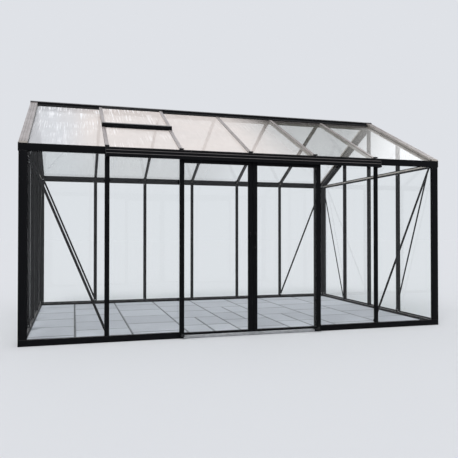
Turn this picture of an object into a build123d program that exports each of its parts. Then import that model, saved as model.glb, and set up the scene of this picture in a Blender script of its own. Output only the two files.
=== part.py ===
"""Glass greenhouse: a black aluminium frame, six bays long and four bays deep, glazed with single
sheets from sill to eave, with two glass leaves that slide apart on a track in front of the middle bays.

Lengths are millimetres. X runs along the ridge, Y from front to back, Z up. The origin is the middle
of the floor's underside, level with the ground that the base frame stands on.
"""
from build123d import *
from math import cos, radians, tan
import os

# Plan of the house
bay_length = 744.0
bays_long = 6
gable_bay_length = 720.0
bays_deep = 4
end_margin_long = 71.0
end_margin_deep = 60.0

# Heights above the ground
sill_height = 62.0
floor_thickness = 22.0
gutter_lip_height = 1917.0
eave_beam_height = 71.0
roof_pitch = 26.0

# Frame sections, measured inwards from the outer face
frame_depth = 50.0
cover_depth = 16.0
rebate_depth = 14.0
pane_thickness = 4.0
pane_clearance = 2.0

# Corner posts and wall bars
post_width = 80.0
bar_width = 40.0
bar_neck_width = 14.0
bar_ledge_width = 36.0
bar_ledge_thickness = 6.0
bar_web_width = 16.0

# Eave beams with their gutters
gutter_wall = 4.0
gutter_width = 30.0
gutter_depth = 24.0
roof_line_below_lip = 15.0

# Ties across the gables
tie_height = 46.0

# Roof bars, from the top of the glass
roof_cap_width = 36.0
roof_cap_height = 6.0
roof_bar_depth = 48.0
roof_cap_set_back = 10.0
roof_pane_set_back = 14.0

# Ridge beam
ridge_width = 80.0
ridge_neck_width = 52.0
ridge_below_roof_line = 72.0
ridge_cap_side = 42.0
ridge_cap_rise = 17.0

# Verges, the wide rafters at the gables
verge_cap_width = 80.0
verge_cap_height = 30.0
verge_neck_width = 54.0
verge_core_width = 66.0
verge_groove_spacing = 25.0
verge_groove_width = 6.0
verge_groove_depth = 3.0

# Diagonal braces
brace_width = 25.0
brace_thickness = 4.0
brace_foot_height = 80.0
brace_top_below_lip = 47.0
brace_top_from_corner = 70.0

# Roof vent in the second front bay
vent_bay = 1
vent_reach = 788.0
vent_bar_width = 36.0
vent_bar_height = 20.0
vent_rail_width = 30.0
vent_rail_height = 44.0
vent_lift = 2.0
vent_pane_lift = 12.0
transom_width = 24.0
transom_depth = 14.0

# Sliding leaves
leaf_below_sill_top = 20.0
leaf_below_eave = 24.0
leaf_back_gap = 22.0
leaf_depth = 28.0
leaf_overlap = 32.0
leaf_meeting_gap = 6.0
stile_width = 46.0
bottom_rail_height = 22.0
top_rail_height = 42.0
leaf_rebate = 10.0

# Track and hood above the leaves
track_drop = 39.0
track_height = 91.0
hood_wall = 6.0
hood_reach = 86.0
hood_step = 6.0
hood_top_band = 18.0
hood_middle_band = 26.0
rail_height = 43.0
rail_reach = 24.0
rail_thickness = 4.0
rail_edge_height = 6.0
track_cap_thickness = 4.0

# Rollers that carry the leaves
roller_radius = 16.0
roller_width = 10.0
roller_from_wall = 13.0
roller_from_leaf_end = 60.0
roller_pin_radius = 4.0
roller_running_gap = 0.3
hanger_width = 60.0
hanger_thickness = 4.0
hanger_from_wall = 32.0
hanger_above_pin = 14.0

# Guides at the feet of the door posts
guide_width = 32.0
guide_thickness = 6.0
guide_gap = 6.0
guide_drop = 10.0
guide_upstand = 20.0

# Handles and lock
handle_height = 150.0
handle_width = 22.0
handle_plate = 4.0
handle_grip_reach = 16.0
handle_grip_width = 6.0
handle_centre = 1000.0
lock_centre = 914.0
lock_radius = 11.0
lock_reach = 10.0

# Sizes that follow
half_length = bays_long * bay_length / 2 + end_margin_long
half_depth = bays_deep * gable_bay_length / 2 + end_margin_deep
inner_half_length = half_length - frame_depth
inner_half_depth = half_depth - frame_depth
pane_inner = cover_depth + pane_thickness
eave_underside = gutter_lip_height - eave_beam_height
sill_body_height = sill_height - rebate_depth
eave_body_underside = eave_underside + rebate_depth
pane_bottom = sill_body_height + pane_clearance
pane_top = eave_body_underside - pane_clearance
post_web = post_width - rebate_depth
post_pane_edge = post_web + pane_clearance
bar_pane_edge = bar_neck_width / 2 + pane_clearance
roof_tan = tan(radians(roof_pitch))
roof_cos = cos(radians(roof_pitch))
roof_line_at_face = gutter_lip_height - roof_line_below_lip
roof_line_at_ridge = roof_line_at_face + half_depth * roof_tan
ridge_bottom = roof_line_at_ridge - ridge_below_roof_line
ridge_side_top = roof_line_at_ridge - ridge_width / 2 * roof_tan + ridge_cap_side
tie_top = eave_underside + tie_height
tie_body_top = tie_top - rebate_depth
wall_bar_lines = [(k - bays_long / 2) * bay_length for k in range(1, bays_long)]
gable_bar_lines = [(k - bays_deep / 2) * gable_bay_length for k in range(1, bays_deep)]
doorway_half = bay_length - bar_width / 2
leaf_bottom = sill_height - leaf_below_sill_top
leaf_top = eave_underside - leaf_below_eave
door_post_lines = [-bay_length, bay_length]
front_bar_lines = [x for x in wall_bar_lines if abs(x) > bay_length]


def prism(points, direction, length):
    """Flat outline carried straight along a direction."""
    outline = Wire.make_polygon([Vector(*p) for p in points], close=True)
    return extrude(Face(outline), amount=length, dir=direction)


def along_x(outline, x_start, x_end):
    """Prism with its outline in Y and Z."""
    return prism([(x_start, y, z) for y, z in outline], (1, 0, 0), x_end - x_start)


def along_y(outline, y_start, y_end):
    """Prism with its outline in X and Z."""
    return prism([(x, y_start, z) for x, z in outline], (0, 1, 0), y_end - y_start)


def along_z(outline, z_start, z_end):
    """Prism with its outline in X and Y."""
    return prism([(x, y, z_start) for x, y in outline], (0, 0, 1), z_end - z_start)


def block(x_start, x_end, y_start, y_end, z_start, z_end):
    """Rectangular block between two corners, given in any order."""
    x0, x1 = sorted((x_start, x_end))
    y0, y1 = sorted((y_start, y_end))
    z0, z1 = sorted((z_start, z_end))
    return Pos(x0, y0, z0) * Box(x1 - x0, y1 - y0, z1 - z0, align=(Align.MIN, Align.MIN, Align.MIN))


def fused(solids):
    """One solid from pieces that touch or overlap."""
    whole = solids[0]
    for piece in solids[1:]:
        whole = whole + piece
    return whole.clean()


def roof_z(y, lift):
    """Height, at y, of the line that lies lift above the top of the roof glass, square to the slope."""
    return roof_line_at_face + (half_depth - abs(y)) * roof_tan + lift / roof_cos


def slope_slab(x_start, x_end, y_low, y_high, lift_low, lift_high):
    """Slab that follows the roof slope between two distances from the glass, with upright ends."""
    x0, x1 = sorted((x_start, x_end))
    outline = [
        (y_low, roof_z(y_low, lift_low)),
        (y_high, roof_z(y_high, lift_low)),
        (y_high, roof_z(y_high, lift_high)),
        (y_low, roof_z(y_low, lift_high)),
    ]
    return along_x(outline, x0, x1)


def write(name, solids):
    """One STEP file for one named piece, or for a group of like pieces."""
    shapes = [part for solid in solids for part in solid.solids()]
    export_step(Compound(children=shapes), f"parts/{name}.step")


# Base frame: sills with a cover lip in front of the glass
def sill_outline(side):
    """Sill section in Y and Z; side is -1 at the front and 1 at the back."""
    return [
        (side * half_depth, 0),
        (side * half_depth, sill_height),
        (side * (half_depth - cover_depth), sill_height),
        (side * (half_depth - cover_depth), sill_body_height),
        (side * inner_half_depth, sill_body_height),
        (side * inner_half_depth, 0),
    ]


def gable_sill(side):
    """Sill of one gable, between the long sills."""
    outline = [
        (side * half_length, 0),
        (side * half_length, sill_height),
        (side * (half_length - cover_depth), sill_height),
        (side * (half_length - cover_depth), sill_body_height),
        (side * inner_half_length, sill_body_height),
        (side * inner_half_length, 0),
    ]
    return along_y(outline, -inner_half_depth, inner_half_depth)


def base_frame():
    """Sills, threshold and floor."""
    front_left = along_x(sill_outline(-1), -half_length, -doorway_half)
    front_right = along_x(sill_outline(-1), doorway_half, half_length)
    back = along_x(sill_outline(1), -half_length, half_length)
    threshold = block(-doorway_half, doorway_half, -half_depth, -inner_half_depth, 0, floor_thickness)
    floor = block(
        -inner_half_length, inner_half_length, -inner_half_depth, inner_half_depth, 0, floor_thickness
    )
    return {
        "front_base_sills": [front_left, front_right],
        "back_base_sill": [back],
        "left_base_sill": [gable_sill(-1)],
        "right_base_sill": [gable_sill(1)],
        "door_threshold": [threshold],
        "paved_floor": [floor],
    }


# Eave beams: the glass slot below and the gutter above
def eave_points(side, with_gutter):
    """Eave section in Y and Z, with its gutter open or filled up to the lip."""
    def at(depth, z):
        return (side * (half_depth - depth), z)

    inner_wall = gutter_wall + gutter_width
    seat_low = roof_z(half_depth - inner_wall, -pane_thickness)
    seat_high = roof_z(inner_half_depth, -pane_thickness)
    channel = gutter_lip_height - gutter_depth
    points = [
        at(0, eave_underside),
        at(cover_depth, eave_underside),
        at(cover_depth, eave_body_underside),
        at(frame_depth, eave_body_underside),
        at(frame_depth, seat_high),
        at(inner_wall, seat_low),
    ]
    if with_gutter:
        points += [at(inner_wall, channel), at(gutter_wall, channel)]
    points += [at(gutter_wall, gutter_lip_height), at(0, gutter_lip_height)]
    return points


def eave_beam(side):
    """Eave beam the length of the house, with a stop in each end of its gutter."""
    beam = along_x(eave_points(side, True), -half_length, half_length)
    stop_top = roof_line_at_face
    stops = [
        block(
            end * half_length,
            end * (half_length - gutter_wall),
            side * (half_depth - gutter_wall),
            side * (half_depth - gutter_wall - gutter_width),
            gutter_lip_height - gutter_depth,
            stop_top,
        )
        for end in (-1, 1)
    ]
    return fused([beam] + stops)


def gable_tie(side):
    """Rail across one gable at eave height, with a glass slot above and below."""
    outer = side * half_length
    slot = side * (half_length - cover_depth)
    inner = side * inner_half_length
    outline = [
        (outer, eave_underside),
        (slot, eave_underside),
        (slot, eave_body_underside),
        (inner, eave_body_underside),
        (inner, tie_body_top),
        (slot, tie_body_top),
        (slot, tie_top),
        (outer, tie_top),
    ]
    return along_y(outline, -inner_half_depth, inner_half_depth)


# Ridge and verges
def ridge_points(with_slots):
    """Ridge section in Y and Z, with its glass slots open or filled."""
    half = ridge_width / 2
    neck = ridge_neck_width / 2
    right = [(half, ridge_bottom)]
    if with_slots:
        right += [
            (half, roof_z(half, -pane_thickness)),
            (neck, roof_z(neck, -pane_thickness)),
            (neck, roof_z(neck, 0)),
            (half, roof_z(half, 0)),
        ]
    right += [(half, ridge_side_top), (0, ridge_side_top + ridge_cap_rise)]
    left = [(-y, z) for y, z in reversed(right[:-1])]
    return right + left


def verge(side, slope_side, eave_body, ridge_body):
    """Wide rafter over one half of a gable; its grooved cap covers the edge of the roof glass.

    Its foot stands on the tie and the eave beam, and its head stops at the ridge beam.
    """
    y_eave = slope_side * half_depth
    y_ridge = slope_side * ridge_width / 2
    outer = side * half_length

    def slab(width, low, high):
        return slope_slab(outer, outer - side * width, y_eave, y_ridge, low, high)

    body = fused([
        slab(verge_cap_width, 0, verge_cap_height),
        slab(verge_neck_width, -pane_thickness, 0),
        slab(verge_core_width, -roof_bar_depth, -pane_thickness),
        slab(cover_depth, -roof_bar_depth - rebate_depth, -roof_bar_depth),
    ])
    for row in (-1, 1):
        middle = outer - side * (verge_cap_width / 2 + row * verge_groove_spacing / 2)
        body = body - slope_slab(
            middle - verge_groove_width / 2,
            middle + verge_groove_width / 2,
            y_eave,
            y_ridge,
            verge_cap_height - verge_groove_depth,
            verge_cap_height + verge_groove_depth,
        )
    below_tie = block(outer, outer - side * verge_cap_width, y_eave, y_ridge, 0, tie_top)
    return body - below_tie - eave_body - ridge_body


# Wall bars: a cover outside the glass, a ledge and a web inside it
def wall_bar(x, side, low_cover, high_cover, low_web, high_web):
    """Upright bar in a long wall, centred on x."""
    def piece(width, depth_low, depth_high, low, high):
        return block(
            x - width / 2,
            x + width / 2,
            side * (half_depth - depth_low),
            side * (half_depth - depth_high),
            low,
            high,
        )

    ledge_inner = pane_inner + bar_ledge_thickness
    return fused([
        piece(bar_width, 0, cover_depth, low_cover, high_cover),
        piece(bar_neck_width, cover_depth, pane_inner, low_web, high_web),
        piece(bar_ledge_width, pane_inner, ledge_inner, low_web, high_web),
        piece(bar_web_width, ledge_inner, frame_depth, low_web, high_web),
    ])


def long_wall_bar(x, side):
    """Bar from the sill to the eave beam."""
    return wall_bar(x, side, sill_height, eave_underside, sill_body_height, eave_body_underside)


def gable_bar_piece(y, side, width, depth_low, depth_high, low, lift):
    """One layer of a gable bar, cut to the slope at the top, or to the ridge beam."""
    x0, x1 = sorted((side * (half_length - depth_low), side * (half_length - depth_high)))
    y0 = y - width / 2
    y1 = y + width / 2
    if abs(y) < ridge_width / 2:
        top = [(y1, ridge_bottom), (y0, ridge_bottom)]
    else:
        top = [(y1, roof_z(y1, lift)), (y0, roof_z(y0, lift))]
    return along_x([(y0, low), (y1, low)] + top, x0, x1)


def gable_bars(side):
    """Lower bars from sill to tie, and upper bars from tie to verge."""
    bars = []
    ledge_inner = pane_inner + bar_ledge_thickness
    layers = [
        (bar_width, 0, cover_depth, True),
        (bar_neck_width, cover_depth, pane_inner, False),
        (bar_ledge_width, pane_inner, ledge_inner, False),
        (bar_web_width, ledge_inner, frame_depth, False),
    ]
    for y in gable_bar_lines:
        lower = []
        upper = []
        for width, depth_low, depth_high, is_cover in layers:
            low = sill_height if is_cover else sill_body_height
            high = eave_underside if is_cover else eave_body_underside
            lower.append(block(
                side * (half_length - depth_low),
                side * (half_length - depth_high),
                y - width / 2,
                y + width / 2,
                low,
                high,
            ))
            start = tie_top if is_cover else tie_body_top
            lift = -roof_bar_depth - rebate_depth if is_cover else -roof_bar_depth
            upper.append(gable_bar_piece(y, side, width, depth_low, depth_high, start, lift))
        bars.append(fused(lower))
        bars.append(fused(upper))
    return bars


def corner_post(side_x, side_y, neighbours):
    """Angle post on the base frame, with a glass rebate on each leg."""
    def at(dx, dy):
        return (side_x * (half_length - dx), side_y * (half_depth - dy))

    outline = [
        at(0, 0),
        at(post_width, 0),
        at(post_width, cover_depth),
        at(post_web, cover_depth),
        at(post_web, frame_depth),
        at(frame_depth, frame_depth),
        at(frame_depth, post_web),
        at(cover_depth, post_web),
        at(cover_depth, post_width),
        at(0, post_width),
    ]
    post = along_z(outline, sill_body_height, eave_body_underside)
    for other in neighbours:
        post = post - other
    return post


# Roof bars
def roof_bar(x, slope_side):
    """Bar from the gutter to the ridge: a cap over the glass, a ledge under it and a web."""
    y_cap = slope_side * (half_depth - roof_cap_set_back)
    y_web = slope_side * inner_half_depth
    y_ridge = slope_side * ridge_width / 2
    ledge_low = -pane_thickness - bar_ledge_thickness

    def slab(width, y_low, low, high):
        return slope_slab(x - width / 2, x + width / 2, y_low, y_ridge, low, high)

    return fused([
        slab(roof_cap_width, y_cap, 0, roof_cap_height),
        slab(bar_neck_width, y_cap, -pane_thickness, 0),
        slab(bar_ledge_width, y_web, ledge_low, -pane_thickness),
        slab(bar_web_width, y_web, -roof_bar_depth, ledge_low),
    ])


# Glass
def pane(x_start, x_end, side, low, high):
    """Upright sheet in a long wall."""
    return block(
        x_start, x_end, side * (half_depth - cover_depth), side * (half_depth - pane_inner), low, high
    )


def bay_edges(index):
    """Edges of the sheet in one bay along the house."""
    lines = [-half_length] + wall_bar_lines + [half_length]
    start = lines[index] + (post_pane_edge if index == 0 else bar_pane_edge)
    end = lines[index + 1] - (post_pane_edge if index == bays_long - 1 else bar_pane_edge)
    return start, end


def gable_edges(index):
    """Edges of the sheet in one bay of a gable."""
    lines = [-half_depth] + gable_bar_lines + [half_depth]
    start = lines[index] + (post_pane_edge if index == 0 else bar_pane_edge)
    end = lines[index + 1] - (post_pane_edge if index == bays_deep - 1 else bar_pane_edge)
    return start, end


def gable_glass(side, ridge_body):
    """Four sheets below the tie and four above it, cut to the slope and notched under the ridge."""
    x0, x1 = sorted((side * (half_length - cover_depth), side * (half_length - pane_inner)))
    panes = []
    lift = -roof_bar_depth - pane_clearance
    low = tie_body_top + pane_clearance
    reach = half_depth - (low - roof_z(half_depth, lift)) / roof_tan
    for index in range(bays_deep):
        start, end = gable_edges(index)
        panes.append(block(x0, x1, start, end, pane_bottom, pane_top))
        if index == 0:
            start = -reach
        if index == bays_deep - 1:
            end = reach
        outline = [(start, low), (end, low)]
        if roof_z(end, lift) > low + pane_clearance:
            outline.append((end, roof_z(end, lift)))
        if roof_z(start, lift) > low + pane_clearance:
            outline.append((start, roof_z(start, lift)))
        panes.append(along_x(outline, x0, x1) - ridge_body)
    return panes


def roof_glass(slope_side):
    """One sheet for each bay from the gutter to the ridge; the one under the vent is shorter."""
    panes = []
    lines = [-half_length] + wall_bar_lines + [half_length]
    for index in range(bays_long):
        start = lines[index] + bar_pane_edge
        end = lines[index + 1] - bar_pane_edge
        if index == 0:
            start = -half_length + verge_neck_width + pane_clearance
        if index == bays_long - 1:
            end = half_length - verge_neck_width - pane_clearance
        low = half_depth - roof_pane_set_back
        high = ridge_neck_width / 2 + pane_clearance
        if slope_side < 0 and index == vent_bay:
            high = vent_reach + pane_clearance
        panes.append(slope_slab(start, end, slope_side * low, slope_side * high, -pane_thickness, 0))
    return panes


# Braces
def wall_brace(side_x, side_y):
    """Flat bar inside a long wall, from the corner's top to the foot of the next bar."""
    y = side_y * inner_half_depth
    top = (side_x * (half_length - brace_top_from_corner), gutter_lip_height - brace_top_below_lip)
    foot = (side_x * (half_length - end_margin_long - bay_length), brace_foot_height)
    return prism([(x, y, z) for x, z in strip(foot, top)], (0, -side_y, 0), brace_thickness)


def gable_brace(side_x, side_y):
    """Flat bar inside a gable, from the corner's top to the foot of the next bar."""
    x = side_x * inner_half_length
    top = (side_y * (half_depth - brace_top_from_corner - brace_width), tie_body_top - brace_width / 2)
    foot = (side_y * (half_depth - end_margin_deep - gable_bay_length), brace_foot_height)
    return prism([(x, y, z) for y, z in strip(foot, top)], (-side_x, 0, 0), brace_thickness)


def strip(foot, top):
    """Corners of a flat bar of brace_width from one fixing to the other."""
    run = top[0] - foot[0]
    rise = top[1] - foot[1]
    length = (run * run + rise * rise) ** 0.5
    ex = run / length * brace_width / 2
    ez = rise / length * brace_width / 2
    return [
        (foot[0] - ex - ez, foot[1] - ez + ex),
        (foot[0] - ex + ez, foot[1] - ez - ex),
        (top[0] + ex + ez, top[1] + ez - ex),
        (top[0] + ex - ez, top[1] + ez + ex),
    ]


# Roof vent
def roof_vent():
    """Closed vent over the upper half of one bay, with the transom that it closes on."""
    x_left = wall_bar_lines[vent_bay - 1]
    x_right = wall_bar_lines[vent_bay]
    outer_left = x_left - vent_bar_width / 2
    outer_right = x_right + vent_bar_width / 2
    y_top = -ridge_width / 2 - vent_lift
    y_foot = -vent_reach
    y_rail = y_foot - transom_width
    low = roof_cap_height
    bar_top = low + vent_bar_height
    y_bar_end = y_rail + vent_rail_width
    y_bar_start = y_top - vent_bar_width
    sides = [
        slope_slab(outer_left, outer_left + vent_bar_width, y_bar_end, y_top, low, bar_top),
        slope_slab(outer_right - vent_bar_width, outer_right, y_bar_end, y_top, low, bar_top),
    ]
    inner_left = outer_left + vent_bar_width
    inner_right = outer_right - vent_bar_width
    head = slope_slab(inner_left, inner_right, y_bar_start, y_top, low, bar_top)
    foot_rail = fused([
        slope_slab(outer_left, outer_right, y_rail, y_bar_end, low, vent_lift + vent_rail_height),
        slope_slab(
            x_left + roof_cap_width / 2 + vent_lift,
            x_right - roof_cap_width / 2 - vent_lift,
            y_rail,
            y_bar_end,
            vent_lift,
            low,
        ),
    ])
    glass = slope_slab(
        inner_left, inner_right, y_bar_end, y_bar_start, vent_pane_lift, vent_pane_lift + pane_thickness
    )
    neck = bar_neck_width / 2
    transom = fused([
        slope_slab(x_left + neck, x_right - neck, y_foot, y_foot + transom_width, -pane_thickness, 0),
        slope_slab(
            x_left + bar_ledge_width / 2,
            x_right - bar_ledge_width / 2,
            y_foot - transom_width,
            y_foot + transom_width,
            -transom_depth,
            -pane_thickness,
        ),
    ])
    return {
        "roof_vent_side_bars": sides,
        "roof_vent_rails": [head, foot_rail],
        "roof_vent_glass": [glass],
        "roof_vent_transom": [transom],
    }


# Track over the leaves
def out(distance):
    """Y of a plane in front of the front wall."""
    return -half_depth - distance


def track_levels():
    """Underside of the track, and the height that its rollers run on."""
    bottom = eave_underside - track_drop
    return bottom, bottom + rail_height


def door_track():
    """Hood with a stepped front, and the rail inside it that the rollers run on."""
    bottom, rail_top = track_levels()
    top = bottom + track_height
    end = bays_long / 3 * bay_length + bar_width / 2 - track_cap_thickness
    band_1 = top - hood_top_band
    band_2 = band_1 - hood_step - hood_middle_band
    front = hood_reach
    middle = front - hood_step
    upper = middle - hood_step
    outline = [
        (0, top),
        (upper, top),
        (upper, band_1),
        (middle, band_1 - hood_step),
        (middle, band_2),
        (front, band_2 - hood_step),
        (front, bottom),
        (front - hood_wall, bottom),
        (front - hood_wall, band_2 - 2 * hood_step),
        (middle - hood_wall, band_2 - hood_step),
        (middle - hood_wall, band_1 - 2 * hood_step),
        (upper - hood_wall, band_1 - hood_step),
        (upper - hood_wall, top - hood_wall),
        (hood_wall, top - hood_wall),
        (hood_wall, rail_top),
        (rail_reach - rail_thickness, rail_top),
        (rail_reach - rail_thickness, rail_top + rail_edge_height),
        (rail_reach, rail_top + rail_edge_height),
        (rail_reach, rail_top - rail_thickness),
        (0, rail_top - rail_thickness),
    ]
    track = along_x([(out(o), z) for o, z in outline], -end, end)
    cap_outline = [(out(o), z) for o, z in outline[:7]] + [(out(0), bottom)]
    caps = [
        along_x(cap_outline, -end - track_cap_thickness, -end),
        along_x(cap_outline, end, end + track_cap_thickness),
    ]
    return track, caps


def bottom_guide(side):
    """Bracket on the sill under the leaf's outer edge, which keeps the leaf from swinging out."""
    x = side * bay_length
    leaf_front = leaf_back_gap + leaf_depth
    lip_inner = leaf_front + guide_gap
    lip_outer = lip_inner + guide_thickness
    plate_top = leaf_bottom - guide_drop
    return fused([
        block(
            x - guide_width / 2,
            x + guide_width / 2,
            out(0),
            out(lip_outer),
            plate_top - guide_thickness,
            plate_top,
        ),
        block(
            x - guide_width / 2,
            x + guide_width / 2,
            out(lip_inner),
            out(lip_outer),
            plate_top,
            plate_top + guide_upstand,
        ),
    ])


# Sliding leaves
def leaf(side):
    """Stiles, rails, glass, handle and rollers of one leaf; side is -1 on the left and 1 on the right."""
    meeting = side * leaf_meeting_gap / 2
    outer = side * (bay_length + leaf_overlap)
    back = out(leaf_back_gap)
    front = out(leaf_back_gap + leaf_depth)
    middle = out(leaf_back_gap + leaf_depth / 2)
    glass_back = middle + pane_thickness / 2
    glass_front = middle - pane_thickness / 2
    rail_meeting = meeting + side * stile_width
    rail_outer = outer - side * stile_width
    reach = leaf_rebate + pane_clearance
    groove = block(
        rail_meeting - side * reach,
        rail_outer + side * reach,
        glass_back,
        glass_front,
        leaf_bottom + bottom_rail_height - reach,
        leaf_top - top_rail_height + reach,
    )
    stiles = [
        block(meeting, rail_meeting, back, front, leaf_bottom, leaf_top) - groove,
        block(rail_outer, outer, back, front, leaf_bottom, leaf_top) - groove,
    ]
    bottom_rail_top = leaf_bottom + bottom_rail_height
    top_rail_bottom = leaf_top - top_rail_height
    rails = [
        block(rail_meeting, rail_outer, back, front, leaf_bottom, bottom_rail_top) - groove,
        block(rail_meeting, rail_outer, back, front, top_rail_bottom, leaf_top) - groove,
    ]
    glass = block(
        rail_meeting - side * leaf_rebate,
        rail_outer + side * leaf_rebate,
        glass_back,
        glass_front,
        bottom_rail_top - leaf_rebate,
        top_rail_bottom + leaf_rebate,
    )
    rollers = [roller(outer - side * roller_from_leaf_end), roller(meeting + side * roller_from_leaf_end)]
    return {
        "stiles": stiles,
        "rails": rails,
        "glass": [glass],
        "handle": [handle(side, meeting, front)],
        "rollers": rollers,
    }


def handle(side, meeting, front):
    """Plate on the meeting stile with a finger lip along its edge; the right one has the lock below."""
    x_mid = meeting + side * stile_width / 2
    x_lip = x_mid + side * handle_width / 2
    low = handle_centre - handle_height / 2
    high = handle_centre + handle_height / 2
    plate_low = low
    pieces = []
    if side > 0:
        plate_low = lock_centre - 2 * lock_radius
        barrel = Cylinder(lock_radius, lock_reach, rotation=(90, 0, 0))
        pieces.append(Pos(x_mid, front - handle_plate - lock_reach / 2, lock_centre) * barrel)
    pieces.insert(0, block(
        x_mid - handle_width / 2, x_mid + handle_width / 2, front, front - handle_plate, plate_low, high
    ))
    pieces.append(block(
        x_lip, x_lip - side * handle_grip_width, front - handle_plate, front - handle_grip_reach, low, high
    ))
    return fused(pieces)


def roller(x):
    """Hanger plate on the leaf's top, its pin, and the wheel that runs on the rail."""
    _, rail_top = track_levels()
    axle = rail_top + roller_running_gap + roller_radius
    wheel = Pos(x, out(roller_from_wall), axle) * Cylinder(roller_radius, roller_width, rotation=(90, 0, 0))
    pin_start = roller_from_wall + roller_width / 2
    pin_length = hanger_from_wall - pin_start
    pin = Pos(x, out(pin_start + pin_length / 2), axle) * Cylinder(
        roller_pin_radius, pin_length, rotation=(90, 0, 0)
    )
    plate = block(
        x - hanger_width / 2,
        x + hanger_width / 2,
        out(hanger_from_wall),
        out(hanger_from_wall + hanger_thickness),
        leaf_top,
        axle + hanger_above_pin,
    )
    return fused([plate, pin, wheel])


# The whole house
def build():
    nodes = base_frame()
    eaves = {side: eave_beam(side) for side in (-1, 1)}
    eave_blocks = fused([along_x(eave_points(side, False), -half_length, half_length) for side in (-1, 1)])
    ridge = along_x(ridge_points(True), -half_length, half_length)
    ridge_block = along_x(ridge_points(False), -half_length, half_length)
    ties = {side: gable_tie(side) for side in (-1, 1)}
    long_sills = {
        -1: along_x(sill_outline(-1), -half_length, half_length),
        1: nodes["back_base_sill"][0],
    }
    gable_sills = {-1: nodes["left_base_sill"][0], 1: nodes["right_base_sill"][0]}

    nodes["corner_posts"] = [
        corner_post(sx, sy, [long_sills[sy], gable_sills[sx], eaves[sy], ties[sx]])
        for sx in (-1, 1)
        for sy in (-1, 1)
    ]
    nodes["door_posts"] = [long_wall_bar(x, -1) for x in door_post_lines]
    nodes["front_wall_bars"] = [long_wall_bar(x, -1) for x in front_bar_lines]
    nodes["back_wall_bars"] = [long_wall_bar(x, 1) for x in wall_bar_lines]
    nodes["left_gable_bars"] = gable_bars(-1)
    nodes["right_gable_bars"] = gable_bars(1)
    nodes["front_eave_beam"] = [eaves[-1]]
    nodes["back_eave_beam"] = [eaves[1]]
    nodes["gable_ties"] = [ties[-1], ties[1]]
    nodes["ridge_beam"] = [ridge]
    nodes["left_verges"] = [verge(-1, s, eave_blocks, ridge_block) for s in (-1, 1)]
    nodes["right_verges"] = [verge(1, s, eave_blocks, ridge_block) for s in (-1, 1)]
    nodes["front_roof_bars"] = [roof_bar(x, -1) for x in wall_bar_lines]
    nodes["back_roof_bars"] = [roof_bar(x, 1) for x in wall_bar_lines]
    nodes["wall_braces"] = [wall_brace(sx, sy) for sx in (-1, 1) for sy in (-1, 1)]
    nodes["gable_braces"] = [gable_brace(sx, sy) for sx in (-1, 1) for sy in (-1, 1)]

    door_bays = (bays_long // 2 - 1, bays_long // 2)
    left_bays = [k for k in range(bays_long) if k < door_bays[0]]
    right_bays = [k for k in range(bays_long) if k > door_bays[1]]
    nodes["front_left_glass"] = [pane(*bay_edges(k), -1, pane_bottom, pane_top) for k in left_bays]
    nodes["front_right_glass"] = [pane(*bay_edges(k), -1, pane_bottom, pane_top) for k in right_bays]
    nodes["back_glass"] = [pane(*bay_edges(k), 1, pane_bottom, pane_top) for k in range(bays_long)]
    nodes["left_gable_glass"] = gable_glass(-1, ridge_block)
    nodes["right_gable_glass"] = gable_glass(1, ridge_block)
    nodes["front_roof_glass"] = roof_glass(-1)
    nodes["back_roof_glass"] = roof_glass(1)

    nodes.update(roof_vent())
    track, caps = door_track()
    nodes["door_track"] = [track]
    nodes["door_track_end_caps"] = caps
    nodes["door_bottom_guides"] = [bottom_guide(-1), bottom_guide(1)]
    for name, side in (("left_door", -1), ("right_door", 1)):
        for piece, solids in leaf(side).items():
            nodes[f"{name}_{piece}"] = solids
    return nodes


os.makedirs("parts", exist_ok=True)
for node_name, node_solids in build().items():
    write(node_name, node_solids)
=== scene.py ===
"""The glass greenhouse, dressed: floor, frame, glass, roof, vent and sliding doors, in the order in which
they are put together. Lengths are metres, X runs along the ridge, Y from front to back and Z up.
"""
from math import cos, pi, radians, sin, tan

import bpy
import bmesh
import numpy as np
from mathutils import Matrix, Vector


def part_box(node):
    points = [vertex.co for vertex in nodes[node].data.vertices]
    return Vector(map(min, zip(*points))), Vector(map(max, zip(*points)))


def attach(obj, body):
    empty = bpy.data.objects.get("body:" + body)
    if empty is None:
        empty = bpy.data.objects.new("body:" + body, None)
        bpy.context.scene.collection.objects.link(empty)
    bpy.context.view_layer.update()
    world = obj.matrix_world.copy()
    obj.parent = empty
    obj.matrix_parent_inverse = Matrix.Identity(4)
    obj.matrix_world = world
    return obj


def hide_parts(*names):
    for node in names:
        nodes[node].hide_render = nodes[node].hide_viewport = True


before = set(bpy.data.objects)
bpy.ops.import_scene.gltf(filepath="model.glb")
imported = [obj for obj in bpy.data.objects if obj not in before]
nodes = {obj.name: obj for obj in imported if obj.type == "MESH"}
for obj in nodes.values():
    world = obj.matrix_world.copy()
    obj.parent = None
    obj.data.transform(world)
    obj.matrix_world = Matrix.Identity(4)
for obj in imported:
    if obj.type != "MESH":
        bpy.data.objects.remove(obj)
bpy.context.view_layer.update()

# Where the picture is taken from
# A camera in front of the doors, 1.04 m above the floor. It stands a little left of the house's middle,
# turned to the right and very nearly level.
camera_place = (-1.7997, -6.8959, 1.0430)
camera_turn = radians(16.056)
camera_rise = radians(0.70)
focal_length_pixels = 538.9
picture_width_pixels = 458

camera_data = bpy.data.cameras.new("front_view")
camera_data.lens = camera_data.sensor_width * focal_length_pixels / picture_width_pixels
camera = bpy.data.objects.new("front_view", camera_data)
camera.location = camera_place
camera.rotation_euler = (pi / 2 + camera_rise, 0, -camera_turn)
bpy.context.scene.collection.objects.link(camera)
bpy.context.scene.camera = camera
bpy.context.scene.view_settings.view_transform = "Standard"

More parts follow.
